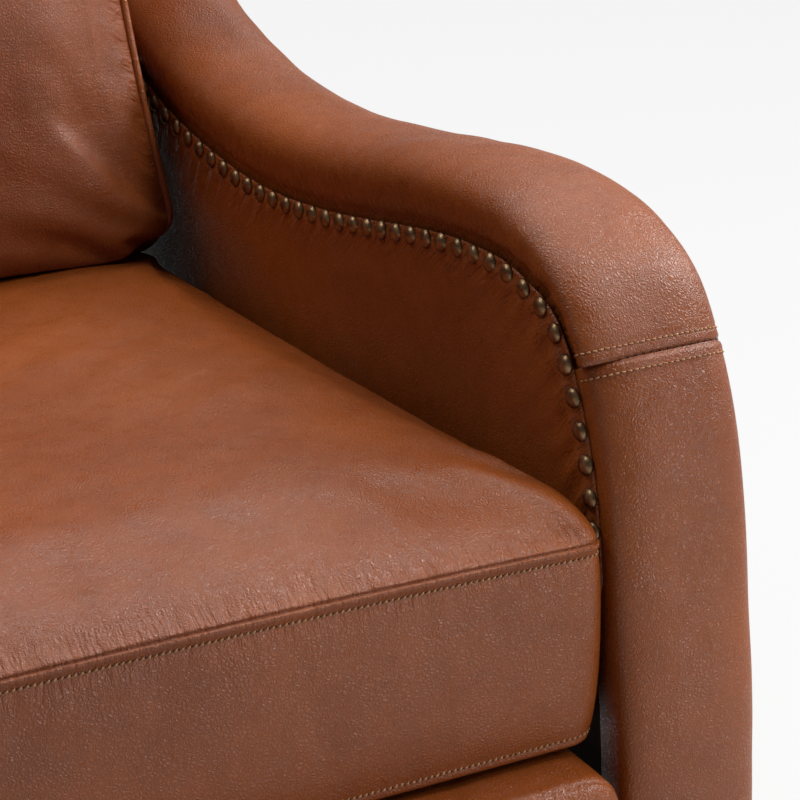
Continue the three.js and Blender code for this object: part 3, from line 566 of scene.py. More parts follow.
seam_creases = tree

# %% [markdown]
# Wood grain runs along one axis: rings seen lengthwise are a wave across the board, bent by a
# noise that is stretched along it. Pores are short dark dashes in the same direction.

# %% The wood grain group
tree, start, end = node_group(
    "wood_grain",
    [("Position", VECTOR, None), ("Rings per metre", FLOAT, 90.0)],
    [("Rings", FLOAT), ("Pores", FLOAT)])
place = start.outputs["Position"]
bent = add(tree, "ShaderNodeTexNoise", Vector=place, Scale=9.0, Detail=3.0)
across = add(tree, "ShaderNodeTexWave", {"wave_type": "BANDS", "bands_direction": "X"},
             Vector=add(tree, "ShaderNodeVectorMath", {"operation": "MULTIPLY_ADD"},
                        i0=bent.outputs["Color"], i1=(0.02, 0.02, 0.02),
                        i2=place).outputs[0],
             Scale=maths(tree, "DIVIDE", start.outputs["Rings per metre"], 3.2),
             Distortion=1.2, Detail=2.0)
pores = add(tree, "ShaderNodeTexNoise", Vector=place, Scale=520.0, Detail=1.0)
tree.links.new(across.outputs["Fac"], end.inputs["Rings"])
tree.links.new(ranged(tree, pores.outputs["Fac"], 0.62, 0.72), end.inputs["Pores"])
wood_grain = tree

# %% [markdown]
# ## Finishes
# The leather is aniline dyed and lightly finished: a saddle brown with a satin surface. Creases
# are a little darker and duller than the tops of the grain; the darkness is partly the leather's
# own tone and partly painted shade. Its tone is two browns mixed by the broad tone. The gloss is
# even on the whole skin, so it is a plain number near the shader.


# %% The leather
# Crease darkening in the colour: partly the leather's own tone, partly painted shade in the
# creases.
tone_share, crease_tone_and_shade, crease_tone_and_shade_mix = 0.75, 0.45, 0.28
crease_rough, mottle_rough = 0.16, 0.08
slack_depth, leather_gloss = 0.0004, 0.5


def placed(tree, node_tree, position, **inputs):
    """A group node that reads the position, with its own values on the named inputs."""
    node = add(tree, "ShaderNodeGroup", {"node_tree": node_tree})
    tree.links.new(position, node.inputs["Position"])
    for key, value in inputs.items():
        node.inputs[key.replace("_", " ")].default_value = value
    return node


def mixed(tree, share, low, high):
    """One colour carried to another by a share."""
    node = add(tree, "ShaderNodeMix", {"data_type": "RGBA"})
    for index, value in ((0, share), (6, low), (7, high)):
        if isinstance(value, bpy.types.NodeSocket):
            tree.links.new(value, node.inputs[index])
        else:
            node.inputs[index].default_value = value if index == 0 else (*value, 1)
    return node.outputs[2]


def leather(name, light, dark, grain=0.00022, shine=0.24, seam=None):
    """Pebbled leather: two browns by the tone, darker creases, partly painted shade, and the grain
    as a bump. `seam` is (place, reach, creases per metre, depth) on a piece that has a seam map."""
    material, tree = new_material(name)
    position = add(tree, "ShaderNodeTexCoord").outputs["Object"]
    grain_node = placed(tree, pebbled_grain, position)
    tone = placed(tree, broad_tone, position, Patches_per_metre=5.0, Mottle_per_metre=60.0)
    share = maths(tree, "ADD", maths(tree, "MULTIPLY", tone.outputs["Tone"], tone_share),
                  maths(tree, "MULTIPLY", tone.outputs["Mottle"], 1 - tone_share))
    body = mixed(tree, share, dark, light)
    crease = grain_node.outputs["Crease"]
    # Darker creases: partly the leather's own tone, partly painted shade.
    creased = mixed(tree, maths(tree, "MULTIPLY", crease, crease_tone_and_shade_mix), body,
                    tuple(crease_tone_and_shade * value for value in dark))
    dull = maths(tree, "MULTIPLY", tone.outputs["Mottle"], mottle_rough)
    rough = maths(tree, "ADD", maths(tree, "MULTIPLY", crease, crease_rough),
                  maths(tree, "ADD", dull, shine))
    slack = add(tree, "ShaderNodeTexNoise", Vector=position, Scale=95.0, Detail=2.0)
    bump = add(tree, "ShaderNodeBump", Strength=1.0, Distance=slack_depth,
               Height=slack.outputs["Fac"])
    if seam:
        seam_map = add(tree, "ShaderNodeUVMap", {"uv_map": "seam"}).outputs[0]
        drawn = placed(tree, seam_creases, seam_map, Seam_at=seam[0], Reach=seam[1],
                       Creases_per_metre=seam[2])
        bump = add(tree, "ShaderNodeBump", Strength=1.0, Distance=seam[3],
                   Height=drawn.outputs["Height"], Normal=bump.outputs[0])
    bump = add(tree, "ShaderNodeBump", Strength=1.0, Distance=grain,
               Height=grain_node.outputs["Height"], Normal=bump.outputs[0])
    shader = add(tree, "ShaderNodeBsdfPrincipled", Base_Color=creased, Roughness=rough,
                 Normal=bump.outputs[0])
    shader.inputs["Specular IOR Level"].default_value = leather_gloss
    add(tree, "ShaderNodeOutputMaterial", Surface=shader.outputs[0])
    return material


# The darker pair is painted shade: the same leather made darker for the back cushion, which lies in
# shade.
shaded_browns = ((0.27, 0.060, 0.0066), (0.165, 0.033, 0.0030))
browns = ((0.33, 0.077, 0.0088), (0.215, 0.045, 0.0042))
saddle = leather("saddle_leather", *browns)

# %% [markdown]
# Thread is matt and a little lighter than the leather. The nails are cast brass with a dark
# patina: on the real nails it is bright where hands rub the dome and almost black in the low
# places;
# here the bright metal and the patina are mixed in small random patches. Both are small in the
# picture, but they are what the eye rests on.


# %% Thread, dark seam and nails
patch_share, finish_spread = 0.6, 0.12


def plain_finish(name, light, dark, rough, metal=0.0, patches=40.0, bump=0.0, bump_scale=900.0):
    """Two colours mixed by the tone, with an optional fine bump of noise."""
    material, tree = new_material(name)
    position = add(tree, "ShaderNodeTexCoord").outputs["Object"]
    tone = placed(tree, broad_tone, position, Patches_per_metre=patches,
                  Mottle_per_metre=patches * 7)
    share = maths(tree, "ADD", maths(tree, "MULTIPLY", tone.outputs["Tone"], patch_share),
                  maths(tree, "MULTIPLY", tone.outputs["Mottle"], 1 - patch_share))
    shader = add(tree, "ShaderNodeBsdfPrincipled", Base_Color=mixed(tree, share, dark, light),
                 Roughness=maths(tree, "ADD", maths(tree, "MULTIPLY", share, finish_spread),
                                 rough - finish_spread / 2))
    shader.inputs["Metallic"].default_value = metal
    if bump:
        noise = add(tree, "ShaderNodeTexNoise", Vector=position, Scale=bump_scale, Detail=3.0)
        tree.links.new(add(tree, "ShaderNodeBump", Strength=1.0, Distance=bump,
                           Height=noise.outputs["Fac"]).outputs[0], shader.inputs["Normal"])
    add(tree, "ShaderNodeOutputMaterial", Surface=shader.outputs[0])
    return material


thread = plain_finish("tan_thread", (0.52, 0.25, 0.11), (0.34, 0.14, 0.05), 0.6,
                      patches=300, bump=0.0001, bump_scale=2500.0)
# The dark finish is the seam's own dark thread, and also the painted shade in the needle holes.
dark_thread_and_hole_shade = plain_finish("dark_thread_and_hole_shade", (0.040, 0.012, 0.004), (0.018, 0.006, 0.003), 0.8,
                           patches=300)
nail_brass = plain_finish("patinated_brass", (0.36, 0.235, 0.125), (0.13, 0.075, 0.038), 0.4,
                          metal=1.0, patches=220, bump=0.00006, bump_scale=700.0)

# %% [markdown]
# Hidden parts are plain: plywood and hardwood in the frame, both darkened as painted shade so that
# no gap shows pale, zinc darkened as painted shade and black steel in the works, and a woven deck
# cloth under the seat.
# The legs are stained walnut. These skeleton nodes keep their shapes and only get finishes.


# %% Wood, steel, cloth and nylon
pore_tone, pore_mix, pore_rough, ring_depth = 0.4, 0.6, 0.2, 0.0002


def wood(name, light, dark, turned=(0, 0, 0), stretch=(1, 1, 0.08), rings=90.0, rough=0.6,
         gloss=0.5):
    """Wood grain along one axis: the position is turned and squeezed along the grain first."""
    material, tree = new_material(name)
    position = add(tree, "ShaderNodeTexCoord").outputs["Object"]
    along = add(tree, "ShaderNodeMapping", Vector=position, Rotation=turned, Scale=stretch)
    grain = placed(tree, wood_grain, along.outputs[0], Rings_per_metre=rings)
    body = mixed(tree, grain.outputs["Rings"], dark, light)
    pored = mixed(tree, maths(tree, "MULTIPLY", grain.outputs["Pores"], pore_mix), body,
                  tuple(pore_tone * value for value in dark))
    bump = add(tree, "ShaderNodeBump", Strength=0.6, Distance=ring_depth,
               Height=maths(tree, "SUBTRACT", grain.outputs["Rings"], grain.outputs["Pores"]))
    shader = add(tree, "ShaderNodeBsdfPrincipled", Base_Color=pored, Normal=bump.outputs[0],
                 Roughness=maths(tree, "ADD", rough, maths(
                     tree, "MULTIPLY", grain.outputs["Pores"], pore_rough)))
    shader.inputs["Specular IOR Level"].default_value = gloss
    add(tree, "ShaderNodeOutputMaterial", Surface=shader.outputs[0])
    return material


# The plywood and the hardwood are darkened as painted shade, so that gaps into the frame stay dark.
plywood = wood("plywood_darkened_as_shade", (0.095, 0.050, 0.024), (0.050, 0.025, 0.012), rings=60.0,
               rough=0.75, gloss=0.15)
hardwood = wood("hardwood_darkened_as_shade", (0.15, 0.082, 0.04), (0.085, 0.045, 0.022),
                stretch=(0.08, 1, 1))
walnut = wood("walnut_legs", (0.075, 0.034, 0.017), (0.028, 0.012, 0.006), rings=140.0,
              rough=0.32)
# The zinc is darkened as painted shade in the gaps.
zinc = plain_finish("zinc_darkened_as_shade", (0.085, 0.08, 0.075), (0.05, 0.047, 0.045), 0.5, metal=1.0,
                    patches=60, bump=0.00003)
black_steel = plain_finish("black_steel", (0.03, 0.03, 0.032), (0.018, 0.018, 0.02), 0.5,
                           patches=80, bump=0.00006)
deck_cloth = plain_finish("deck_cloth", (0.04, 0.036, 0.03), (0.018, 0.016, 0.014), 0.9,
                          patches=500, bump=0.0003, bump_scale=1600.0)
nylon = plain_finish("nylon", (0.03, 0.03, 0.03), (0.02, 0.02, 0.02), 0.5, patches=60)

by_slot = {"plywood": plywood, "hardwood": hardwood, "leg_wood": walnut, "zinc_steel": zinc,
           "black_steel": black_steel, "deck_cloth": deck_cloth, "glide_nylon": nylon,
           "leather": saddle, "nails": nail_brass}
node_slots = {part["node"]: part["material_slot"] for part in frame["record"]["subparts"]}
for node_name, node_object in frame["nodes"].items():
    node_object.data.materials.clear()
    node_object.data.materials.append(by_slot[node_slots[node_name]])
print("finished nodes:", len(node_slots))

# %% [markdown]
# ## The padded roll over the arm and the wing
# The roll is foam under one long strip of leather, nailed along its inner edge. Its section has a
# flat foot, short straight cheeks and a full dome. On the inside it tucks in over the nails and
# then swells past them, because the leather is pulled down to the nail line. The section is
# carried along the crest, so the roll is one grid: stations by section points.

# %% The roll's section
section_half = arm_width / 2 - 0.0003
dome_fullness = 2.7


def roll_section(share, turns, swell, tuck):
    """Points (x, height) round the dome. `turns` run from 0, outside, to pi, inside. The dome is
    a full ellipse: powers of cosine and sine. The swell pushes the inner side out, and the tuck
    draws it back in close to the nails."""
    depth = depth_of(share)[:, None]
    cheek = np.minimum(2 * nail_inset, depth / 2)
    cosine, sine = np.cos(turns)[None], np.abs(np.sin(turns))[None]
    x = section_half * squared_off(cosine, 2 / dome_fullness)
    height = cheek + (depth - cheek) * sine ** (2 / dome_fullness)
    inner = np.where(cosine < 0, np.abs(cosine), 0)
    x = x - np.asarray(swell)[:, None] * 2 * sine * inner
    x = x + np.asarray(tuck)[:, None] * inner * bump_at(height - cheek, 0.0035)
    return x, height


def roll_rings(share, turns, swell, tuck):
    """The section's rings in the chair's frame, and the share of each point round the dome."""
    x, height = roll_section(share, turns, swell, tuck)
    inward = depth_of(share)[:, None] - height
    at, out = crest(share), crest_out(share)
    y = at[:, 0:1] - out[:, 0:1] * inward
    z = at[:, 1:2] - out[:, 1:2] * inward
    foot_x = np.array([section_half, section_half - 0.002, -section_half + 0.002, -section_half])
    foot_h = np.array([0.0015, 0.0, 0.0, 0.0015])
    foot = above_edge(np.repeat(share, 4), np.tile(foot_h, len(share))).reshape(-1, 4, 2)
    rings = np.zeros((len(share), len(turns) + 4, 3))
    rings[:, :2, 0], rings[:, -2:, 0] = foot_x[2:], foot_x[:2]
    rings[:, :2, 1:], rings[:, -2:, 1:] = foot[:, [2, 3]], foot[:, [0, 1]]
    rings[:, 2:-2, 0], rings[:, 2:-2, 1], rings[:, 2:-2, 2] = (a[:, ::-1] for a in (x, y, z))
    rings[:, :, 0] += arm_middle
    rings[:, :, 1:] += [seat_front, seat_seam]
    return rings


# %% [markdown]
# Where the roll bends round the front of the arm, its leather gathers towards the nails in short
# fine folds. Each fold starts at a nail, points away from the nail line and fades within a few
# centimetres. Slow waves over the whole roll keep its highlights from being ruled lines.

# %% The roll, from the front seam to the wing's end
seam_gap = 0.00001
roll_swell, roll_tuck = 0.009, 0.003
dome_arc, fold_reach, end_round = 0.045, 0.012, 0.012
roll_share = np.concatenate([
    seam_share + seam_gap + np.array([0, 0.0002, 0.0006, 0.0014, 0.0026]),
    np.linspace(seam_share + 0.006, 0.9965, 300), [0.998, 0.9992, 1.0]])
dome_turns = np.concatenate([[0.0], np.linspace(0.03, math.pi - 0.03, 62), [math.pi]])
rings = roll_rings(roll_share, dome_turns, np.full(len(roll_share), roll_swell),
                   np.full(len(roll_share), roll_tuck))
nail_path = above_edge(roll_share, nail_inset)
run = along_lengths(nail_path)
turns_in = np.concatenate([[math.pi + 0.1] * 2, dome_turns[::-1], [-0.1] * 2])
from_nails = np.abs(math.pi - turns_in)[None] * dome_arc
fold = np.cos(2 * np.pi * (run[:, None] / nail_pitch + 0.12 * waves(rings * [0, 1, 1], 0.03, 5)))
bend = np.abs(np.gradient(np.unwrap(np.arctan2(*crest_out(roll_share).T)))
              / np.maximum(np.gradient(run), 1e-5))
gather = smooth_step(bend, 2.0, 12.0)[:, None] * 0.00045 + 0.00012
inner_side = smooth_step(turns_in, math.pi * 0.55, math.pi * 0.8)[None]
relief = gather * fold * inner_side * np.exp(-from_nails / fold_reach)
dome_sine = np.sin(np.clip(turns_in, 0, math.pi))[None]
dome_only = dome_sine ** 0.3
stitch_line = 0.0070


def seam_relief(distance):
    """Across the front seam, which is opened flat: a groove at the seam, a low ridge beside it
    and the dip of the stitches, on the dome only."""
    return dome_only * (0.0004 * bump_at(distance - 0.0040, 0.0018)
                        - 0.0017 * bump_at(distance, 0.0013)
                        - 0.0005 * bump_at(distance - stitch_line, 0.0014))


relief += uneven(rings, (0.0011, 0.14, 7), (0.0004, 0.05, 8)) * dome_sine
relief += seam_relief((run - run[0])[:, None])
relief -= 0.010 * edge_drop((run[-1] - run)[:, None], end_round) * dome_only
outward_sign = np.sign(grid_normals(rings)[100, 34, 1:] @ crest_out(roll_share[100:101])[0])
roll_grid = rings + grid_normals(rings) * relief[..., None] * outward_sign
points, faces = tube_mesh(roll_grid)
saddle_roll = leather("saddle_leather_roll", *browns, seam=(0.0, 0.034, 150.0, 0.0011))
ends = np.zeros(2)
roll_map = [np.append(np.broadcast_to(values, roll_grid.shape[:2]).ravel(), ends)
            for values in (run[:, None], np.abs(from_nails))]
both_sides("roll_leather", points, faces, saddle_roll, "frame", "leather", ["arm_roll"],
           fill=0.95, seam_map=roll_map, turn_out=True)
print("roll nail run", round(float(run[-1]), 3), "m")

# %% [markdown]
# ## Stitches
# A stitch is a short length of thread that dips into the leather at both ends. Each one is a
# small spindle of six sides, laid along its row and sunk to half its thickness. A row of them is
# the same spindle at even steps along a path, turned to the path and to the surface's normal.


# %% Rows of stitches
def spindle(length, radius, sides=6, steps=5):
    """A closed spindle along +X: its radius follows the root of a half sine, and its ends dip."""
    share = np.linspace(0.02, 0.98, steps)
    size = radius * np.sqrt(np.sin(np.pi * share))
    angle = 2 * np.pi * np.arange(sides) / sides
    rings = np.stack(np.broadcast_arrays(
        ((share - 0.5) * length)[:, None], size[:, None] * np.cos(angle),
        size[:, None] * np.sin(angle) - (radius * 1.1 * (2 * share - 1) ** 2)[:, None]), -1)
    return tube_mesh(rings)


def stitch_row(path, normals, pitch, length, radius, lift=0.0, seed=1, slant=0.0, shift=0.0):
    """One closed spindle at each step of the path. Columns of each small frame are the path's
    direction, the direction across it and the surface's normal. `shift` moves the row on by a
    share of a step."""
    total = along_lengths(path)[-1]
    count = max(int(total / pitch), 1)
    source = np.random.default_rng(seed)
    where = (np.arange(count) + 0.5 + shift) * total / count
    where = np.minimum(where, total - 0.001)
    middle = at_lengths(path, where)
    ahead = at_lengths(path, np.minimum(where + 0.0015, total)) \
        - at_lengths(path, np.maximum(where - 0.0015, 0))
    ahead /= np.linalg.norm(ahead, axis=1, keepdims=True)
    own = along_lengths(path)
    up = np.stack([np.interp(where, own, normals[:, k]) for k in range(3)], 1)
    up -= ahead * (up * ahead).sum(1, keepdims=True)
    up /= np.linalg.norm(up, axis=1, keepdims=True)
    across = np.cross(up, ahead)
    angle = slant + source.normal(0, 0.05, count)
    ahead, across = (ahead * np.cos(angle)[:, None] + across * np.sin(angle)[:, None],
                     across * np.cos(angle)[:, None] - ahead * np.sin(angle)[:, None])
    points, faces = spindle(length, radius)
    frames = np.stack([ahead, across, up], 1)
    scale = source.uniform(0.92, 1.06, (count, 1, 1))
    placed_points = (points[None] * scale) @ frames + (middle + up * lift)[:, None]
    return placed_points.reshape(-1, 3), repeated(faces, count, len(points))


def row_at(grid, run_from_edge, distance):
    """The line on a grid that lies a distance in from its first row, and its outward normals."""
    at = int(np.searchsorted(run_from_edge, distance))
    low, high = run_from_edge[at - 1], run_from_edge[at]
    share = (distance - low) / (high - low)
    normals = grid_normals(grid)
    return (grid[at - 1] * (1 - share) + grid[at] * share,
            normals[at - 1] * (1 - share) + normals[at] * share)


# %% [markdown]
# ## The post's facing and the front seam
# Below the arm's front the post is covered by its own piece of leather, sewn to the roll. The
# seam is opened flat and stitched down on each side, so there are three rows: tan thread about
# 7 mm above and below, and the dark thread of the seam itself in its groove.

# %% The facing below the seam
facing_share = np.concatenate([
    np.linspace(0, seam_share - 0.006, 110),
    seam_share - seam_gap - np.array([0.0026, 0.0014, 0.0006, 0.0002, 0])])
none = np.zeros(len(facing_share))
rings = roll_rings(facing_share, dome_turns, none + 0.001, none)
run = along_lengths(above_edge(facing_share, nail_inset))
relief = uneven(rings, (0.0007, 0.16, 17), (0.0003, 0.045, 18)) * dome_sine
relief += seam_relief((run[-1] - run)[:, None])
facing_grid = rings + grid_normals(rings) * relief[..., None] * outward_sign
facing_grid[..., 2] = np.maximum(facing_grid[..., 2], seat_seam - skirt_drop)
points, faces = tube_mesh(facing_grid)
both_sides("post_leather", points, faces, saddle, "frame", "leather", ["front_facing"],
           fill=0.95, turn_out=True)

# %% The three rows of the front seam
stitch_pitch = 0.0036
tan_stitch = {"length": 0.0034, "radius": 0.00056, "lift": 0.00028}
# The needle holes are short dark spindles: painted shade.
needle_hole_shade = {"length": 0.0013, "radius": 0.00040, "lift": 0.0001, "shift": 0.5}
dark_stitch = {"pitch": 0.0050, "length": 0.0042, "radius": 0.0011, "lift": -0.0006}
dome_columns = slice(2, len(dome_turns) + 2)
roll_run = along_lengths(nail_path)
upper, upper_up = row_at(roll_grid, roll_run, stitch_line)
lower, lower_up = row_at(facing_grid[::-1], run[-1] - run[::-1], stitch_line)
lower_up = -lower_up
middle = (roll_grid[0] + facing_grid[-1]) / 2
middle_up = grid_normals(roll_grid)[2]
lines = [(line[dome_columns], up[dome_columns] * outward_sign)
         for line, up in ((upper, upper_up), (lower, lower_up))]
points, faces = merged(*[stitch_row(*line, stitch_pitch, **tan_stitch, seed=seed)
                         for seed, line in enumerate(lines, 3)])
both_sides("seam_stitches", points, faces, thread, "frame", "leather")
# These dark pieces are the seam's dark thread and the painted shade of the needle holes.
points, faces = merged(
    *[stitch_row(*line, stitch_pitch, **needle_hole_shade, seed=seed)
      for seed, line in enumerate(lines, 7)],
    stitch_row(middle[dome_columns], middle_up[dome_columns] * outward_sign, **dark_stitch,
               seed=5))
both_sides("seam_thread_and_hole_shade", points, faces, dark_thread_and_hole_shade, "frame", "leather")

# %% [markdown]
# ## The inside panel and its nails
# The leather of the inside arm is one panel. Its upper edge is folded under and nailed over the
# roll's inner edge, so the nails stand on a thin band that rises over the panel's plane. The panel
# is a grid of straight lines from that edge to the frame's rear and foot, a little padded. It
# puffs up between the nails and dips at each one. Its second face lies on the plywood.

# %% Lines from the folded edge to the foot
panel_from, panel_to, nails_from, nails_to = 0.158, 0.985, 0.172, 0.76
fold_height, joint = 0.0128, 0.001
panel_share = np.linspace(panel_from, panel_to, 420)
fold_edge = above_edge(panel_share, fold_height)
foot_corner = np.array([above_edge(panel_share[:1], 0)[0, 0] + 0.003, -seat_border + joint])
rear_corner = np.array([rear_foot - joint, -seat_border + joint])
rear_bend = np.array([rear_foot - joint, -rear_knee])
rear_top = np.array([rear_y - joint - math.tan(rake) * (wing_rise - fold_edge[-1, 1]),
                     fold_edge[-1, 1] - 0.002])
base_path = np.array([foot_corner, rear_corner, rear_bend, rear_top])
edge_run = along_lengths(fold_edge)
# The foot's points run ahead of the edge's, in proportion to their own lengths.
warp = np.array([[0, 0], [0.09, 0.16], [0.2, 0.3], [0.55, 0.5], [0.72, 0.62], [1, 1]])
base_share = np.interp(edge_run / edge_run[-1], warp[:, 0], warp[:, 1])
base_edge = at_lengths(base_path, base_share * along_lengths(base_path)[-1])

# %% The padded face of the panel
down = np.concatenate([[0, 0.0004, 0.0010, 0.0018], np.linspace(0.003, 0.052, 46),
                       0.052 + (np.linspace(0, 1, 30)[1:] ** 1.3) * 0.5])
span = np.linalg.norm(base_edge - fold_edge, axis=1)
reach_share = np.clip(down[None] / span[:, None], 0, 1)
spread = np.linspace(0, 1, len(down))[None] ** 1.6
blend_share = np.where(span[:, None] > 0.12, reach_share, spread)
blend_share = np.maximum.accumulate(blend_share, axis=1)
blend_share[:, -1] = 1
panel_yz = fold_edge[:, None] * (1 - blend_share[..., None]) \
    + base_edge[:, None] * blend_share[..., None]
depth_in = blend_share * span[:, None]
nail_line = above_edge(panel_share, nail_inset)
nail_run = along_lengths(nail_line)
known_nail = [0.0265, 0.0150]
first_nail = int(np.argmin(np.linalg.norm(nail_line - known_nail, axis=1)))
phase = (nail_run - nail_run[first_nail]) / nail_pitch
between = 0.5 - 0.5 * np.cos(2 * np.pi * phase)
from_fold = depth_in - (fold_height - nail_inset)
near_front = 1 - smooth_step(nail_run, 0.12, 0.3)
puff = 0.0016 * smooth_step(depth_in, 0.004, 0.02) * (1 - smooth_step(depth_in, 0.02, 0.11))
puff += ((0.0014 * near_front + 0.00050) * between)[:, None] \
    * fading(from_fold, -0.002, 0.006, 0.006, 0.012)
grid3 = with_x(0.0, panel_yz)
pulls = np.cos(2 * np.pi * (phase[:, None] + 0.18 * waves(grid3, 0.05, 31)))
puff -= (0.00055 * near_front + 0.00012)[:, None] * pulls \
    * fading(from_fold, 0.004, 0.012, 0.01, 0.02)
puff += 0.0008 * waves(grid3, 0.11, 32) * smooth_step(depth_in, 0.02, 0.06)
band = 1 - smooth_step(depth_in, 0.0115, 0.021)
face_x = inside_x - 0.0009 * band - puff - 0.0004
face_x += 0.0011 * edge_drop(depth_in, 0.0014)
face_x += 0.004 * edge_drop(span[:, None] - depth_in, 0.006)
on_band = depth_in < fold_height + 0.0006
back_x = np.where(on_band, inside_x + 0.00012, inside_x + 0.0115)
world_grid = world_yz(panel_yz)
front_face = with_x(face_x, world_grid)
back_face = with_x(np.maximum(back_x, face_x + 0.0003), world_grid)

# %% One closed panel from the two faces
def closed_slab(front, back):
    """Two grids of the same size, face to face: the second turned over, and a wall between their
    rims."""
    rows, columns = front.shape[:2]
    faces = [tuple(f) for f in grid_faces(rows, columns)]
    faces += [tuple(f[::-1]) for f in grid_faces(rows, columns, start=rows * columns)]
    numbers = np.arange(rows * columns).reshape(rows, columns)
    rim = np.concatenate([numbers[0], numbers[1:, -1], numbers[-1, -2::-1], numbers[-2:0:-1, 0]])
    after = np.roll(rim, -1)
    shift = rows * columns
    faces += [(b, a, a + shift, b + shift) for a, b in zip(rim, after)]
    return np.vstack([front.reshape(-1, 3), back.reshape(-1, 3)]), faces


points, faces = closed_slab(front_face, back_face)
saddle_panel = leather("saddle_leather_panel", *browns, seam=(0.0, 0.042, 140.0, 0.0012))
panel_map = [np.tile(np.broadcast_to(values, depth_in.shape).ravel(), 2)
             for values in (nail_run[:, None], np.abs(from_fold))]
both_sides("inside_arm_leather", points, faces, saddle_panel, "frame", "leather",
           ["inside_panel"], fill=0.9, seam_map=panel_map, turn_out=True)

# %% [markdown]
# The nails have full domes, about a third as high as they are wide, with a rim that bites into
# the leather. No nail is driven quite like the next, so each is tipped by a degree or two.


# %% Domed nails
def dome(radius, height, sides=14, steps=5):
    """A nail head along -X: height times the root of one less the squared radius, closed below
    by a flat disc. The rim's radius is a little larger than where the dome begins."""
    angle = 2 * np.pi * np.arange(sides) / sides
    lean = np.linspace(0, math.pi / 2 * 0.94, steps)
    ring_radius = np.concatenate([[radius * 0.96, radius], radius * np.cos(lean[1:])])
    ring_height = np.concatenate([[-0.0006, 0.0004], 0.0004 + height * np.sin(lean[1:])])
    rings = np.stack(np.broadcast_arrays(
        -ring_height[:, None], ring_radius[:, None] * np.cos(angle),
        ring_radius[:, None] * np.sin(angle)), -1)
    return tube_mesh(rings)


def nail_row(places, base_x, radius, height, seed):
    """A dome at each (y, z) place, turned and tipped a little at random."""
    source = np.random.default_rng(seed)
    points, faces = dome(radius, height)
    count = len(places)
    tip = source.normal(0, 0.035, (count, 2))
    turned = points[None] * source.uniform(0.97, 1.03, (count, 1, 1))
    turned = turned + np.stack([turned[..., 1] * tip[:, :1] + turned[..., 2] * tip[:, 1:],
                                np.zeros_like(turned[..., 0]), np.zeros_like(turned[..., 0])], -1)
    middles = np.concatenate([np.asarray(base_x).reshape(-1, 1) * np.ones((count, 1)), places], 1)
    return (turned + middles[:, None]).reshape(-1, 3), repeated(faces, count, len(points))


nail_radius, nail_height, nail_proud = 0.0060, 0.0035, 0.0014
last_run = float(np.interp(nails_to, panel_share, nail_run))
start_run = nail_run[first_nail] - nail_pitch * math.floor(
    (nail_run[first_nail] - float(np.interp(nails_from, panel_share, nail_run))) / nail_pitch)
nail_runs = np.arange(start_run, last_run, nail_pitch)
nail_places = at_lengths(nail_line, nail_runs)
points, faces = nail_row(world_yz(nail_places), inside_x - nail_proud, nail_radius,
                         nail_height, 41)
both_sides("nails", points, faces, nail_brass, "frame", "nails", ["nail_trim"], turn_out=True)
print("nails a side:", len(nail_runs), "first at", nail_places[0].round(4))

# %% [markdown]
# ## Boxed cushions
# The seat, the back and the legrest are boxed cushions: a face, a border round it and a seam
# where they meet. Each is built as rows round one rim, from the underside up the border and over
# the seam, and a patch of curves fills the face inside the last row. A patch whose edges are the
# row itself keeps the faces square and needs no pole. The rim starts at a rear corner, out of
# sight.


# %% A rim and the patch that fills it
def gathered(share):
    """Shares from 0 to 1 moved closer together towards both ends."""
    return share - 0.4 * np.sin(2 * np.pi * share) / (2 * np.pi)


def rim(half_a, half_b, corner, pulls, counts):
    """A rounded rectangle as four runs, each from one corner's middle to the next: the left side
    towards the front, the front, the right side and the rear. The points of a run stand closer
    at its ends, and each side is drawn in by its pull times one less the squared share."""
    turn = np.linspace(0, np.pi / 4, 9)
    arc = corner * np.stack([np.sin(turn), 1 - np.cos(turn)], 1)
    runs = []
    for quarter, across, along, count in ((3, half_b, half_a, counts[1]),
                                          (0, half_a, half_b, counts[0]),
                                          (1, half_b, half_a, counts[1]),
                                          (2, half_a, half_b, counts[0])):
        path = np.vstack([arc[::-1] * [-1, 1] + [corner - across, -along],
                          arc + [across - corner, -along]])
        share = gathered(np.linspace(0, 1, count + 1)[:-1])
        run = at_lengths(path, share * along_lengths(path)[-1])
        cosine, sine = ((1, 0), (0, 1), (-1, 0), (0, -1))[quarter]
        runs.append(run @ np.array([[cosine, sine], [-sine, cosine]]))
    ring = np.vstack(runs)
    a, b = ring[:, 0] / half_a, ring[:, 1] / half_b
    return np.stack([ring[:, 0] - pulls[0] * a * np.clip(1 - b * b, 0, 1),
                     ring[:, 1] - pulls[1] * b * np.clip(1 - a * a, 0, 1)], 1)


def patch_of(ring, counts):
    """The patch inside a closed row: the two blends between opposite sides, added, less the
    blend of the four corners. Rows run to the rear, columns to the right. `ring` may hold
    points or vertex numbers; numbers give only the edge, and the inside stays -1."""
    na, nb = counts
    left = ring[:nb + 1][::-1]
    front = ring[nb:nb + na + 1]
    right = ring[nb + na:2 * nb + na + 1]
    rear = np.concatenate([ring[2 * nb + na:], ring[:1]])[::-1]
    if ring.ndim == 1:
        numbers = np.full((nb + 1, na + 1), -1)
        numbers[0], numbers[-1], numbers[:, 0], numbers[:, -1] = front, rear, left, right
        return numbers
    u = gathered(np.linspace(0, 1, na + 1))[None, :, None]
    v = gathered(np.linspace(0, 1, nb + 1))[:, None, None]
    return ((1 - v) * front[None] + v * rear[None] + (1 - u) * left[:, None] + u * right[:, None]
            - ((1 - u) * (1 - v) * front[0] + u * (1 - v) * front[-1]
               + (1 - u) * v * rear[0] + u * v * rear[-1]))


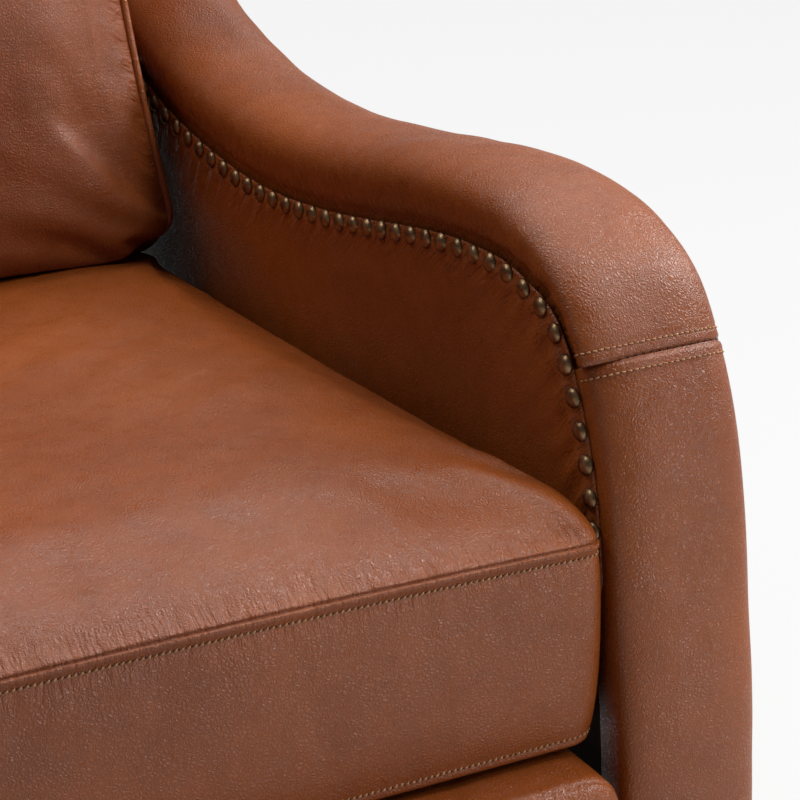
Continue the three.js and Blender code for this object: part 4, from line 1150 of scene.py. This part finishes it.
def boxed(rows, counts, crown, seam):
    """Points, faces and each point's two seam coordinates: how far along the rim and how far
    across it, in metres, from the row numbered `seam`. `rows` is (row, point, 3); `crown` maps
    the distance from the face's edge to a lift along the cushion's own up, which is +Z here."""
    row_count, around = rows.shape[:2]
    faces = [tuple(face) for face in grid_faces(row_count, around, wrap=True)]
    fillings = []
    for row, start in ((row_count - 1, 0), (0, (counts[0] - 1) * (counts[1] - 1))):
        numbers = patch_of(np.arange(around) + row * around, counts)
        numbers[1:-1, 1:-1] = start + row_count * around + np.arange(
            (counts[0] - 1) * (counts[1] - 1)).reshape(counts[1] - 1, counts[0] - 1)
        faces += [tuple(face) for face in numbers.ravel()[grid_faces(*numbers.shape)]]
        fillings.append(patch_of(rows[row], counts)[1:-1, 1:-1])
    inside, base = fillings
    middle, reach = rows[-1].mean(0), np.abs(rows[-1] - rows[-1].mean(0)).max(0)
    share = np.abs((inside - middle) / np.maximum(reach, 1e-6))[..., :2]
    edge_distance = (1 - np.clip((share ** 8).sum(-1) ** (1 / 8), 0, 1)) * reach[:2].min()
    inside = inside + np.stack([0 * edge_distance, 0 * edge_distance, crown(edge_distance)], -1)
    run = along_lengths(rows[-3])
    across = np.concatenate([np.zeros((1, around)), np.cumsum(
        np.linalg.norm(np.diff(rows, axis=0), axis=2), axis=0)])
    across = across - across[seam]
    run_inside = np.where(share[..., 1] > share[..., 0],
                          run[counts[1]] + (inside[..., 0] - rows[-1][..., 0].min()),
                          run[counts[1] + counts[0]] + (inside[..., 1] - rows[-1][..., 1].min()))
    unseen = np.zeros(base.shape[0] * base.shape[1])
    along = np.concatenate([np.tile(run, row_count), run_inside.ravel(), unseen])
    across_all = np.concatenate([across.ravel(), (across[-1].mean() + edge_distance).ravel(),
                                 unseen - 0.2])
    points = np.vstack([rows.reshape(-1, 3), inside.reshape(-1, 3), base.reshape(-1, 3)])
    return points, faces, along, across_all


# %% [markdown]
# The filling shows in how a cushion swells between its seams. Blender's cloth does this well:
# the seam rows are held, a light pressure pushes from inside, and the leather is given a little
# spare length, so that it rises in soft uneven folds. The movement is capped, because the pieces
# around the cushion are rigid. The result is applied, and one subdivision smooths it.


# %% Letting a cushion settle
cloth_spare, cloth_frames = 0.002, 20


def settle(made, held, pressure, cap):
    """Runs the cloth on a mesh with the `held` vertices fixed, then moves each point by what the
    cloth moved it, shortened to `cap` metres: cap times tanh(distance / cap)."""
    scene = bpy.context.scene
    group = made.vertex_groups.new(name="held")
    group.add([int(i) for i in held], 1.0, "REPLACE")
    cloth = made.modifiers.new("settle", "CLOTH")
    values = cloth.settings
    values.quality, values.mass = 6, 0.35
    values.tension_stiffness, values.compression_stiffness = 18, 18
    values.shear_stiffness, values.bending_stiffness = 6, 2.5
    values.use_pressure, values.uniform_pressure_force = True, pressure
    values.vertex_group_mass, values.shrink_min = "held", -cloth_spare
    values.effector_weights.gravity = 0
    cloth.collision_settings.use_collision = False
    cloth.point_cache.frame_start, cloth.point_cache.frame_end = 1, cloth_frames
    start = np.empty(len(made.data.vertices) * 3)
    made.data.vertices.foreach_get("co", start)
    for number in range(1, cloth_frames + 1):
        scene.frame_set(number)
    moved = np.empty_like(start)
    evaluated = made.evaluated_get(bpy.context.evaluated_depsgraph_get())
    evaluated.data.vertices.foreach_get("co", moved)
    made.modifiers.remove(cloth)
    scene.frame_set(1)
    step = (moved - start).reshape(-1, 3)
    size = np.maximum(np.linalg.norm(step, axis=1, keepdims=True), 1e-9)
    step *= cap * np.tanh(size / cap) / size
    made.data.vertices.foreach_set("co", (start.reshape(-1, 3) + step).ravel())
    made.data.update()
    print(made.name, "settled, moved at most", round(float(size.max()) * 1000, 1), "mm")


def read_points(mesh):
    """The mesh's points as an array of rows x, y, z."""
    flat = np.empty(len(mesh.vertices) * 3)
    mesh.vertices.foreach_get("co", flat)
    return flat.reshape(-1, 3)


def read_normals(mesh):
    """The smooth normal at each point of the mesh."""
    flat = np.empty(len(mesh.vertices) * 3)
    mesh.vertex_normals.foreach_get("vector", flat)
    return flat.reshape(-1, 3)


def subdivided(made):
    """Applies one subdivision. The first points of the result are the ones it started from."""
    smooth = made.modifiers.new("smooth", "SUBSURF")
    smooth.levels = smooth.render_levels = 1
    fine = bpy.data.meshes.new_from_object(
        made.evaluated_get(bpy.context.evaluated_depsgraph_get()))
    made.modifiers.clear()
    made.data = fine
    return made


def cushion(name, rows, counts, crown, seam, material, held_rows, pressure, cap, to_world):
    """A settled and subdivided boxed cushion with its seam coordinates as two point attributes."""
    points, faces, along, across = boxed(rows, counts, crown, seam)
    around = rows.shape[1]
    made = piece(name, to_world(points), faces, material, turn_out=True)
    for label, values in (("along", along), ("across", across)):
        made.data.attributes.new(label, "FLOAT", "POINT").data.foreach_set(
            "value", values.astype(np.float32))
    base_start = len(points) - (counts[0] - 1) * (counts[1] - 1)
    held = np.concatenate([np.arange(around) + row * around for row in held_rows]
                          + [np.arange(base_start, len(points))])
    settle(made, held, pressure, cap)
    return subdivided(made)


def seam_fields(made):
    """The along and across values of each point of a cushion."""
    values = []
    for label in ("along", "across"):
        flat = np.empty(len(made.data.vertices), np.float32)
        made.data.attributes[label].data.foreach_get("value", flat)
        values.append(flat.astype(float))
    return values


def push(made, distance):
    """Moves each point of a finished mesh along its normal by a distance of its own."""
    moved = read_points(made.data) + read_normals(made.data) * distance[:, None]
    made.data.vertices.foreach_set("co", moved.ravel())
    made.data.update()


def finish_cushion(made, detail, body, node):
    """Pushes the fine relief out, writes the seam coordinates as the UV map "seam" in place of
    the two attributes, and dresses the cushion."""
    push(made, detail)
    write_seam_map(made.data, *seam_fields(made))
    for label in ("along", "across"):
        made.data.attributes.remove(made.data.attributes[label])
    dress(made, body, [node])
    print(made.name, "faces", len(made.data.polygons))


def row_of(made, row, around, first=0, last=None):
    """The points and normals of one row of a cushion, closed or from `first` to `last`."""
    points, normals = read_points(made.data), read_normals(made.data)
    numbers = row * around + np.arange(around)
    numbers = np.append(numbers, numbers[0]) if last is None else numbers[first:last + 1]
    return points[numbers], normals[numbers]


# %% [markdown]
# A cushion's section is a table with one row for each ring of points. Under a cushion is a pocket
# for the frame that carries it, and one edge can be drawn up over that frame.


# %% Rings from a table, and the pocket
millimetres = np.array([0.001, 0.001, 0.001, 1])
pocket_corner = 0.003


def rows_from(profile, half_a, half_b, pulls, counts):
    """Rows round a cushion from a table of (out, height, corner radius) in millimetres, and a
    fourth number: the share of the sides' pull that the row has."""
    rows = []
    for out, height, corner, pull in profile * millimetres:
        inset = max(-out, 0)
        ring = rim(half_a + out, half_b + out, max(corner - inset, 0.002) + max(out, 0),
                   (pulls[0] * pull, pulls[1] * pull), counts)
        rows.append(np.column_stack([ring, np.full(len(ring), height)]))
    return np.array(rows)


def pocket_rows(half_a, half_b, shift, heights, counts):
    """The pocket's rings: a sharp-cornered rim, moved to the rear, at each of the heights."""
    ring = rim(half_a, half_b, pocket_corner, (0, 0), counts)
    ring[:, 1] += shift
    return [np.column_stack([ring, np.full(len(ring), height)]) for height in heights]


def drawn_up(heights, limit, share, kept):
    """Heights under `limit` drawn to it as `share` goes to 1, but for the part `kept`."""
    drawn = limit + kept * (heights - limit)
    return np.where(heights < limit, heights * (1 - share) + share * drawn, heights)


# %% [markdown]
# ## The seat
# The seat's face meets its border in a seam with a smooth band below it, held down by a row of
# twisted thread. The face rises from the seam in a full roll, and falls a little to the rear.
# The front seam bows up towards the chair's middle. The border puffs forward between its rows of
# stitches. Under the cushion is a pocket for the sprung frame.

# %% The seat cushion
seat_under_back = 0.084
seat_length = seat_depth + seat_under_back
seat_counts = (76, 64)
frame_pocket = 0.0645
seat_profile = np.array([
    [-9.0, -122.5, 22, 1], [-3.5, -123.0, 20, 1], [-0.9, -121.8, 18, 1], [0.0, -119.4, 17, 1],
    [-0.9, -116.4, 16, 1], [0.4, -113.2, 15, 1], [1.9, -101.0, 14, 1], [2.9, -81.0, 13, 1],
    [3.1, -60.0, 12, 1], [2.8, -39.0, 12, 1], [1.9, -22.0, 11, 1], [1.0, -12.4, 10, 1],
    [-0.6, -8.3, 10, 1], [0.5, -6.4, 10, 1], [0.9, -4.2, 10, 1], [0.5, -2.7, 10, 1],
    [-0.9, -2.0, 10, 1], [-0.6, -1.0, 10, 1], [0.2, 1.0, 10, 1], [0.8, 3.6, 11, 1],
    [0.9, 7.0, 12, 1], [0.2, 11.0, 14, 1], [-2.2, 15.4, 17, 1], [-6.2, 19.4, 21, 1],
    [-12.2, 22.4, 26, 1], [-20.0, 24.2, 32, 1]])
seam_row, stitch_row_top, stitch_row_low = 18, 14, 6
# At the front the face rolls over more slowly than at the sides: how much further in, in metres.
front_roll = np.concatenate([np.zeros(seam_row + 1), [
    0.0002, 0.0018, 0.0042, 0.0069, 0.0098, 0.0128, 0.0168, 0.0208, 0.0240]])


pocket_half, pocket_front, pocket_foot = 0.2478, 0.0217, -0.1205
seat_rows = np.concatenate([pocket_rows(
    pocket_half, (seat_length - pocket_front) / 2, pocket_front / 2 - 0.001,
    (-frame_pocket, pocket_foot), seat_counts), rows_from(
    seat_profile, seat_half - 0.0018, seat_length / 2 - 0.0016, (0.003, 0.0), seat_counts)])
front_reach, rear_reach = 0.085, 0.035
near_front = smooth_step(-seat_rows[seam_row, :, 1], seat_length / 2 - front_reach,
                         seat_length / 2 - 0.003)
seat_rows[..., 1] += front_roll[:, None] * near_front[None]
# The rear border is cut up over the frame, so that the back's brackets can pass.
rear_share = smooth_step(seat_rows[..., 1], seat_length / 2 - rear_reach,
                         seat_length / 2 - 0.012)
low_edge = -frame_pocket - 0.001
seat_rows[..., 2] = drawn_up(seat_rows[..., 2], low_edge, rear_share, 0.08)


seat_bow, bow_reach = 0.0042, 0.16


def seat_to_world(points):
    """The seat's own frame has its origin at the middle of its seam. The top falls to the rear
    and bows up at the front's middle, in proportion to the height above the underside."""
    x, y, z = points.T
    from_front = y + seat_length / 2
    level = np.clip((z + seat_border) / seat_border, 0, None)
    fall = seat_drop * level * from_front / seat_length
    bow = seat_bow * level * (1 - (x / seat_half) ** 2) * np.exp(-from_front / bow_reach)
    return np.stack([x, from_front + seat_front, z - fall + bow + seat_seam], 1)


def across_between(rows, row, seam):
    """How far across the rim a row lies from the seam's row, on average round the cushion."""
    steps = np.linalg.norm(np.diff(rows, axis=0), axis=2).cumsum(0).mean(1)
    return float(steps[row - 1] - steps[seam - 1])


low_across = across_between(seat_rows, stitch_row_low, seam_row)
saddle_seat = leather("saddle_leather_seat", *browns, seam=(0.0, 0.026, 230.0, 0.0005))
held_rows = [0, 1, 2, 3, 4, stitch_row_low, *range(stitch_row_top - 1, seam_row + 2)]
seat = cushion("seat_leather", seat_rows, seat_counts, swell(0.0088, 0.055), seam_row,
               saddle_seat, held_rows, 1.4, 0.006, seat_to_world)
around = seat_rows.shape[1]
along, from_seam = seam_fields(seat)
places = read_points(seat.data)
detail = -0.0013 * bump_at(from_seam, 0.0009) + 0.0003 * bump_at(from_seam + 0.0019, 0.0011)
detail -= 0.0005 * bump_at(from_seam + 0.0064, 0.0016)
detail -= 0.0006 * bump_at(from_seam - low_across, 0.002)
tucks = np.cos(2 * np.pi * (along / 0.019 + 0.35 * waves(places, 0.05, 51)))
detail += 0.00028 * tucks * fading(from_seam, 0.001, 0.006, 0.005, 0.014)
detail += 0.00016 * tucks * fading(-from_seam, 0.009, 0.013, 0.012, 0.016)
on_face = smooth_step(from_seam, 0.02, 0.07)
detail += 0.0011 * waves(places, 0.16, 52) * on_face
detail += 0.0005 * waves(places, 0.06, 53) * smooth_step(from_seam, 0.012, 0.04)
on_border = smooth_step(-from_seam, 0.012, 0.03)
on_border *= smooth_step(from_seam - low_across, 0.004, 0.02)
detail += 0.0009 * waves(places, 0.11, 54) * on_border
finish_cushion(seat, detail, "seat", "seat_cushion")

# %% The seat's stitches
thread_radius, thread_lift, hole_radius, hole_lift = 0.00072, 0.00038, 0.00050, 0.00010


def sewn(name, paths, body, pitch, slant):
    """Rows of thread on a piece, and between each two stitches a dark spindle: painted shade in the
    needle hole.
    """
    threads = [stitch_row(*path, pitch, 1.02 * pitch, thread_radius, thread_lift, seed, slant)
               for seed, path in enumerate(paths, 61)]
    hole_shade = [stitch_row(*path, pitch, 0.45 * pitch, hole_radius, hole_lift, seed, slant, 0.5)
             for seed, path in enumerate(paths, 81)]
    for label, rows, material in (("thread", threads, thread), ("hole_shade", hole_shade, dark_thread_and_hole_shade)):
        points, faces = merged(*rows)
        dress(piece(f"{name}_{label}", points, faces, material), body)


sewn("seat_seam", [row_of(seat, row, around, seat_counts[1] - 12,
                          seat_counts[1] + seat_counts[0] + 12)
                   for row in (stitch_row_top, stitch_row_low)], "seat", stitch_pitch, 0.48)

# %% [markdown]
# ## The back cushion
# It leans by the rake and stands on the seat's rear. Its rows are made lying down, with the face
# up, and then stood up. The face bulges over its welt, most of all at the foot, where the filling
# has sunk. The sides draw in towards the middle, which leaves a gap to the wings.

# %% The back cushion
back_half, back_height, back_thick = 0.262, 0.545, 0.132
back_pull, back_lift = 0.017, 0.008
back_counts = (70, 70)
back_profile = np.array([
    [-34.0, -108.0, 8, 0], [-12.0, -107.5, 14, 0], [-3.0, -104.0, 17, 0], [1.5, -96.0, 19, 0],
    [4.6, -82.0, 20, 0.0], [5.0, -62.0, 20, 0.15], [3.6, -42.0, 20, 0.5], [1.0, -24.0, 20, 0.85],
    [-0.8, -10.0, 20, 1], [-1.6, -3.5, 20, 1], [-2.4, 0.0, 20, 1], [-2.8, 3.0, 20, 1],
    [-4.4, 6.6, 21, 1], [-7.6, 10.6, 24, 1], [-12.4, 14.6, 28, 1], [-19.0, 18.0, 33, 1],
    [-27.5, 20.6, 39, 1]])
welt_row = 10
back_rows = rows_from(back_profile, back_half - 0.0036, back_height / 2 - 0.004,
                      (back_pull, 0.004), back_counts)
foot_near = smooth_step(-back_rows[..., 1], back_height / 2 - 0.085, back_height / 2 - 0.030)
in_front = smooth_step(back_rows[..., 2], 0.0, 0.012)
behind_welt = 1 - smooth_step(back_rows[..., 2], -0.030, 0.0)
inner_part = 1 - smooth_step(np.abs(back_rows[..., 0]), back_half - 0.060, back_half - 0.012)
sunk_face, sunk_rear, welt_lift, welt_behind = 0.031, 0.016, 0.012, 0.022
back_rows[..., 1] -= foot_near * (sunk_face * in_front * (0.35 + 0.65 * inner_part)
                                  + sunk_rear * behind_welt)


def leant(x, height, behind):
    """Places on the leaning back, from their height along it and their distance behind it."""
    return np.stack([
        x, seat_front + seat_depth + behind * math.cos(rake) + height * math.sin(rake),
        seat_seam + back_lift - behind * math.sin(rake) + height * math.cos(rake)], 1)


def back_to_world(points):
    """Stands the cushion up: its y becomes the height along the face, and its z, which grows
    towards the sitter, is measured from the welt's plane. Then it leans by the rake."""
    x, y, z = points.T
    height = y + back_height / 2 + welt_lift * np.exp(-(y + back_height / 2) / 0.05)
    tucked = 0.012 * smooth_step(z, 0.0, 0.015) * np.exp(-np.clip(height + 0.020, 0, 1) / 0.030)
    return leant(x, height, welt_behind - z + tucked)


# The back cushion takes the darker browns: painted shade.
saddle_back = leather("saddle_leather_back_painted_shade", *shaded_browns, grain=0.00018, shine=0.34,
                      seam=(0.0, 0.03, 150.0, 0.0007))
back = cushion("back_leather", back_rows, back_counts, swell(0.006, 0.05), welt_row, saddle_back,
               [0, 1, 2, 3, welt_row], 1.6, 0.009, back_to_world)
along, from_seam = seam_fields(back)
places = read_points(back.data)
tucks = np.cos(2 * np.pi * (along / 0.028 + 0.4 * waves(places, 0.07, 55)))
detail = 0.00035 * tucks * fading(from_seam, 0.002, 0.01, 0.008, 0.022)
detail += 0.0016 * waves(places, 0.17, 56) * smooth_step(from_seam, 0.02, 0.08)
detail += 0.0005 * waves(places, 0.06, 57) * smooth_step(from_seam, 0.01, 0.05)
finish_cushion(back, detail, "back", "back_cushion")


# %% The welt round the back's face
def closed_tube(path, radius, sides=12):
    """A closed tube round a closed path: at each point a ring across the path's direction."""
    ahead = np.roll(path, -1, axis=0) - np.roll(path, 1, axis=0)
    ahead /= np.linalg.norm(ahead, axis=1, keepdims=True)
    side = np.array([0.0, math.cos(rake), -math.sin(rake)])
    outward = np.cross(ahead, side)
    outward /= np.linalg.norm(outward, axis=1, keepdims=True)
    angle = 2 * np.pi * np.arange(sides) / sides
    rings = path[:, None] + radius * (np.cos(angle)[None, :, None] * outward[:, None]
                                      + np.sin(angle)[None, :, None] * side)
    faces = [tuple(face) for face in grid_faces(len(path), sides, wrap=True)]
    last = (len(path) - 1) * sides
    turn = np.arange(sides)
    after = (turn + 1) % sides
    faces += [(last + a, last + b, b, a) for a, b in zip(turn, after)]
    return rings.reshape(-1, 3), faces


welt_radius, welt_out, welt_points = 0.0030, 0.0012, 640
welt_path, welt_normals = row_of(back, welt_row, back_rows.shape[1])
closed_path = welt_path + welt_normals * welt_out
welt_run = along_lengths(closed_path)[-1]
welt_path = at_lengths(closed_path, np.linspace(0, welt_run, welt_points + 1)[:-1])
for _ in range(3):
    welt_path = (np.roll(welt_path, 1, axis=0) + 2 * welt_path
                 + np.roll(welt_path, -1, axis=0)) / 4
points, faces = closed_tube(welt_path, welt_radius)
dress(piece("back_welt", points, faces, saddle, turn_out=True), "back")

# %% [markdown]
# ## The legrest
# The pad under the seat is a flatter boxed cushion on a board. It is closed in the photograph,
# with only its upper edge in view, a dark gap above it and its corners well rounded.

# %% The legrest pad
rest_top, rest_foot, rest_front = -0.1265, -0.315, -0.028
rest_half, rest_tall = 0.262, 0.1885
rest_counts = (64, 28)
rest_profile = np.array([
    [-6.0, -47.0, 20, 1], [-1.5, -46.0, 22, 1], [0.0, -42.0, 23, 1], [0.4, -32.0, 23, 1],
    [0.4, -20.0, 23, 1], [0.2, -8.0, 23, 1], [0.0, -1.5, 23, 1], [0.0, 1.0, 23, 1],
    [0.0, 4.0, 23, 1], [-0.3, 7.4, 23, 1], [-0.9, 8.6, 23, 1], [-1.2, 9.8, 23, 1],
    [-2.9, 12.6, 24, 1], [-6.2, 15.2, 25, 1], [-11.2, 17.4, 28, 1], [-18.0, 18.8, 32, 1]])
rest_seam_row = 10
rest_rows = rows_from(rest_profile, rest_half - 0.0012, rest_tall / 2 - 0.0012, (0.002, 0.001),
                      rest_counts)


def rest_to_world(points):
    """Stands the pad up in front of its board, with its face to the front."""
    x, y, z = points.T
    return np.stack([x, seat_front + rest_front + 0.012 - z,
                     seat_seam + (rest_top + rest_foot) / 2 + y], 1)


saddle_rest = leather("saddle_leather_rest", *browns, seam=(0.0, 0.024, 240.0, 0.0002))
rest = cushion("legrest_leather", rest_rows, rest_counts, swell(0.003, 0.03), rest_seam_row,
               saddle_rest, [0, 1, 6, rest_seam_row], 1.6, 0.004, rest_to_world)
from_seam = seam_fields(rest)[1]
detail = 0.0008 * waves(read_points(rest.data), 0.12, 58) * smooth_step(from_seam, 0.01, 0.04)
detail -= 0.0007 * bump_at(from_seam, 0.0016)
finish_cushion(rest, detail, "legrest", "legrest_pad")

# %% [markdown]
# ## The outside
# The outside of each side is one stretched panel from the roll down to the skirt, with a light
# padding over the plywood, so its faces are nearly flat and its edges turn in softly. The strip
# behind the wing closes the side, and a shallow padded tray closes the back.

# %% The outside panels
panel_thick = 0.0117
out_share = np.linspace(0.004, 0.985, 300)
out_edge = above_edge(out_share, -0.0004)
low = -skirt_drop + 0.0006
out_base_path = np.array([
    [out_edge[0, 0] + 0.004, low], [rear_foot - joint, low], rear_bend,
    [rear_y - joint - math.tan(rake) * (wing_rise - out_edge[-1, 1]), out_edge[-1, 1] - 0.002]])
out_warp = np.array([[0, 0], [0.1, 0.06], [0.27, 0.16], [0.42, 0.38], [0.6, 0.52], [0.75, 0.66],
                     [1, 1]])
out_run = along_lengths(out_edge)
out_base = at_lengths(out_base_path, np.interp(
    out_run / out_run[-1], out_warp[:, 0], out_warp[:, 1]) * along_lengths(out_base_path)[-1])
cross_share = np.concatenate([[0, 0.002, 0.006, 0.012, 0.02, 0.032], np.linspace(0.05, 0.95, 40),
                              [0.968, 0.98, 0.988, 0.994, 0.998, 1]])
out_yz = out_edge[:, None] * (1 - cross_share[None, :, None]) \
    + out_base[:, None] * cross_share[None, :, None]
out_span = np.linalg.norm(out_base - out_edge, axis=1)[:, None]
to_edge = np.minimum(cross_share[None] * out_span, (1 - cross_share[None]) * out_span)
to_edge = np.minimum(to_edge, np.minimum(out_run, out_run[-1] - out_run)[:, None])
out_puff = swell(0.0022, 0.05)(to_edge) \
    + 0.0007 * waves(with_x(0.0, out_yz), 0.2, 71) * smooth_step(to_edge, 0.01, 0.06)
out_x = outside_x - 0.0008 - 0.0035 * edge_drop(to_edge, 0.006) + out_puff
out_world = world_yz(out_yz)
points, faces = closed_slab(with_x(out_x, out_world), with_x(outside_x - panel_thick, out_world))
both_sides("outside_arm_leather", points, faces, saddle, "frame", "leather", ["outside_panel"],
           fill=0.95, turn_out=True)

# %% The strip behind each wing
top_z = above_edge([1.0], 0)[0, 1] - 0.0006
strip_path = np.array([[rear_foot, -skirt_drop + 0.0004], [rear_foot, -rear_knee],
                       [rear_y - math.tan(rake) * (wing_rise - top_z), top_z]])
strip_runs = np.linspace(0, along_lengths(strip_path)[-1], 120)
strip_line = at_lengths(strip_path, strip_runs)
for _ in range(6):
    strip_line[1:-1] = (strip_line[:-2] + 2 * strip_line[1:-1] + strip_line[2:]) / 4
strip_angle = 2 * np.pi * np.arange(48) / 48
strip_half, strip_middle = arm_width / 2 - 0.0004, 0.0061
strip_x = strip_half * squared_off(np.cos(strip_angle), 0.22)
strip_y = 0.0057 * squared_off(np.sin(strip_angle), 0.4)
strip_y = strip_y + 0.0012 * np.clip(np.sin(strip_angle), 0, 1) ** 0.5 \
    * (1 - (strip_x / strip_half) ** 2)
end_in = 0.004 * edge_drop(np.minimum(strip_runs, strip_runs[-1] - strip_runs), 0.004)
shrink = (1 - end_in / 0.006)[:, None]
rings = np.stack(np.broadcast_arrays(
    arm_middle + strip_x[None] * (1 - end_in[:, None] / strip_half),
    strip_line[:, :1] + strip_middle + strip_y[None] * shrink + seat_front,
    strip_line[:, 1:] + seat_seam), -1)
points, faces = tube_mesh(rings)
both_sides("rear_strip_leather", points, faces, saddle, "frame", "leather", ["rear_facing"],
           fill=0.95, turn_out=True)

# %% The outside back
tail, skin, frame_thick = 0.100, 0.012, 0.0266
tray_half = (0.2612, (back_height + tail) / 2 - 0.0008)
tray_counts = (44, 52)
tray_profile = np.array([
    [-9.0, 0.6, 14, 0], [-2.2, 0.4, 20, 0], [-0.5, 1.6, 24, 0], [0.0, 6.0, 26, 0],
    [0.2, 16.0, 26, 0], [0.0, 26.0, 26, 0], [-0.8, 31.5, 26, 0], [-2.6, 35.4, 27, 0],
    [-6.0, 37.6, 30, 0], [-12.0, 38.6, 34, 0]])
pocket = pocket_rows(tray_half[0] - skin + 0.0009, tray_half[1] - 0.0065, -0.0060,
                     (frame_thick, 0.0008), tray_counts)
tray_rows = np.concatenate([pocket, rows_from(tray_profile, *tray_half, (0, 0), tray_counts)])
foot_share = smooth_step(-tray_rows[..., 1], tray_half[1] - 0.030, tray_half[1] - 0.014)
floor_depth = frame_thick + 0.0008
tray_rows[..., 2] = drawn_up(tray_rows[..., 2], floor_depth, foot_share, 0.04)


def tray_to_world(points):
    """The tray's x, its height along the back and its depth to the rear, leant by the rake."""
    x, y, z = points.T
    return leant(x, y + (back_height - tail) / 2, z + back_thick + 0.0003)


points, faces, _, _ = boxed(tray_rows, tray_counts, swell(0.0035, 0.06), 0)
tray = subdivided(piece("outside_back_leather", tray_to_world(points), faces, saddle,
                        turn_out=True))
push(tray, 0.0008 * waves(read_points(tray.data), 0.22, 73)
     * (read_normals(tray.data)[:, 1] > 0.5))
dress(tray, "back", ["outside_back"])
print("outside back faces", len(tray.data.polygons))
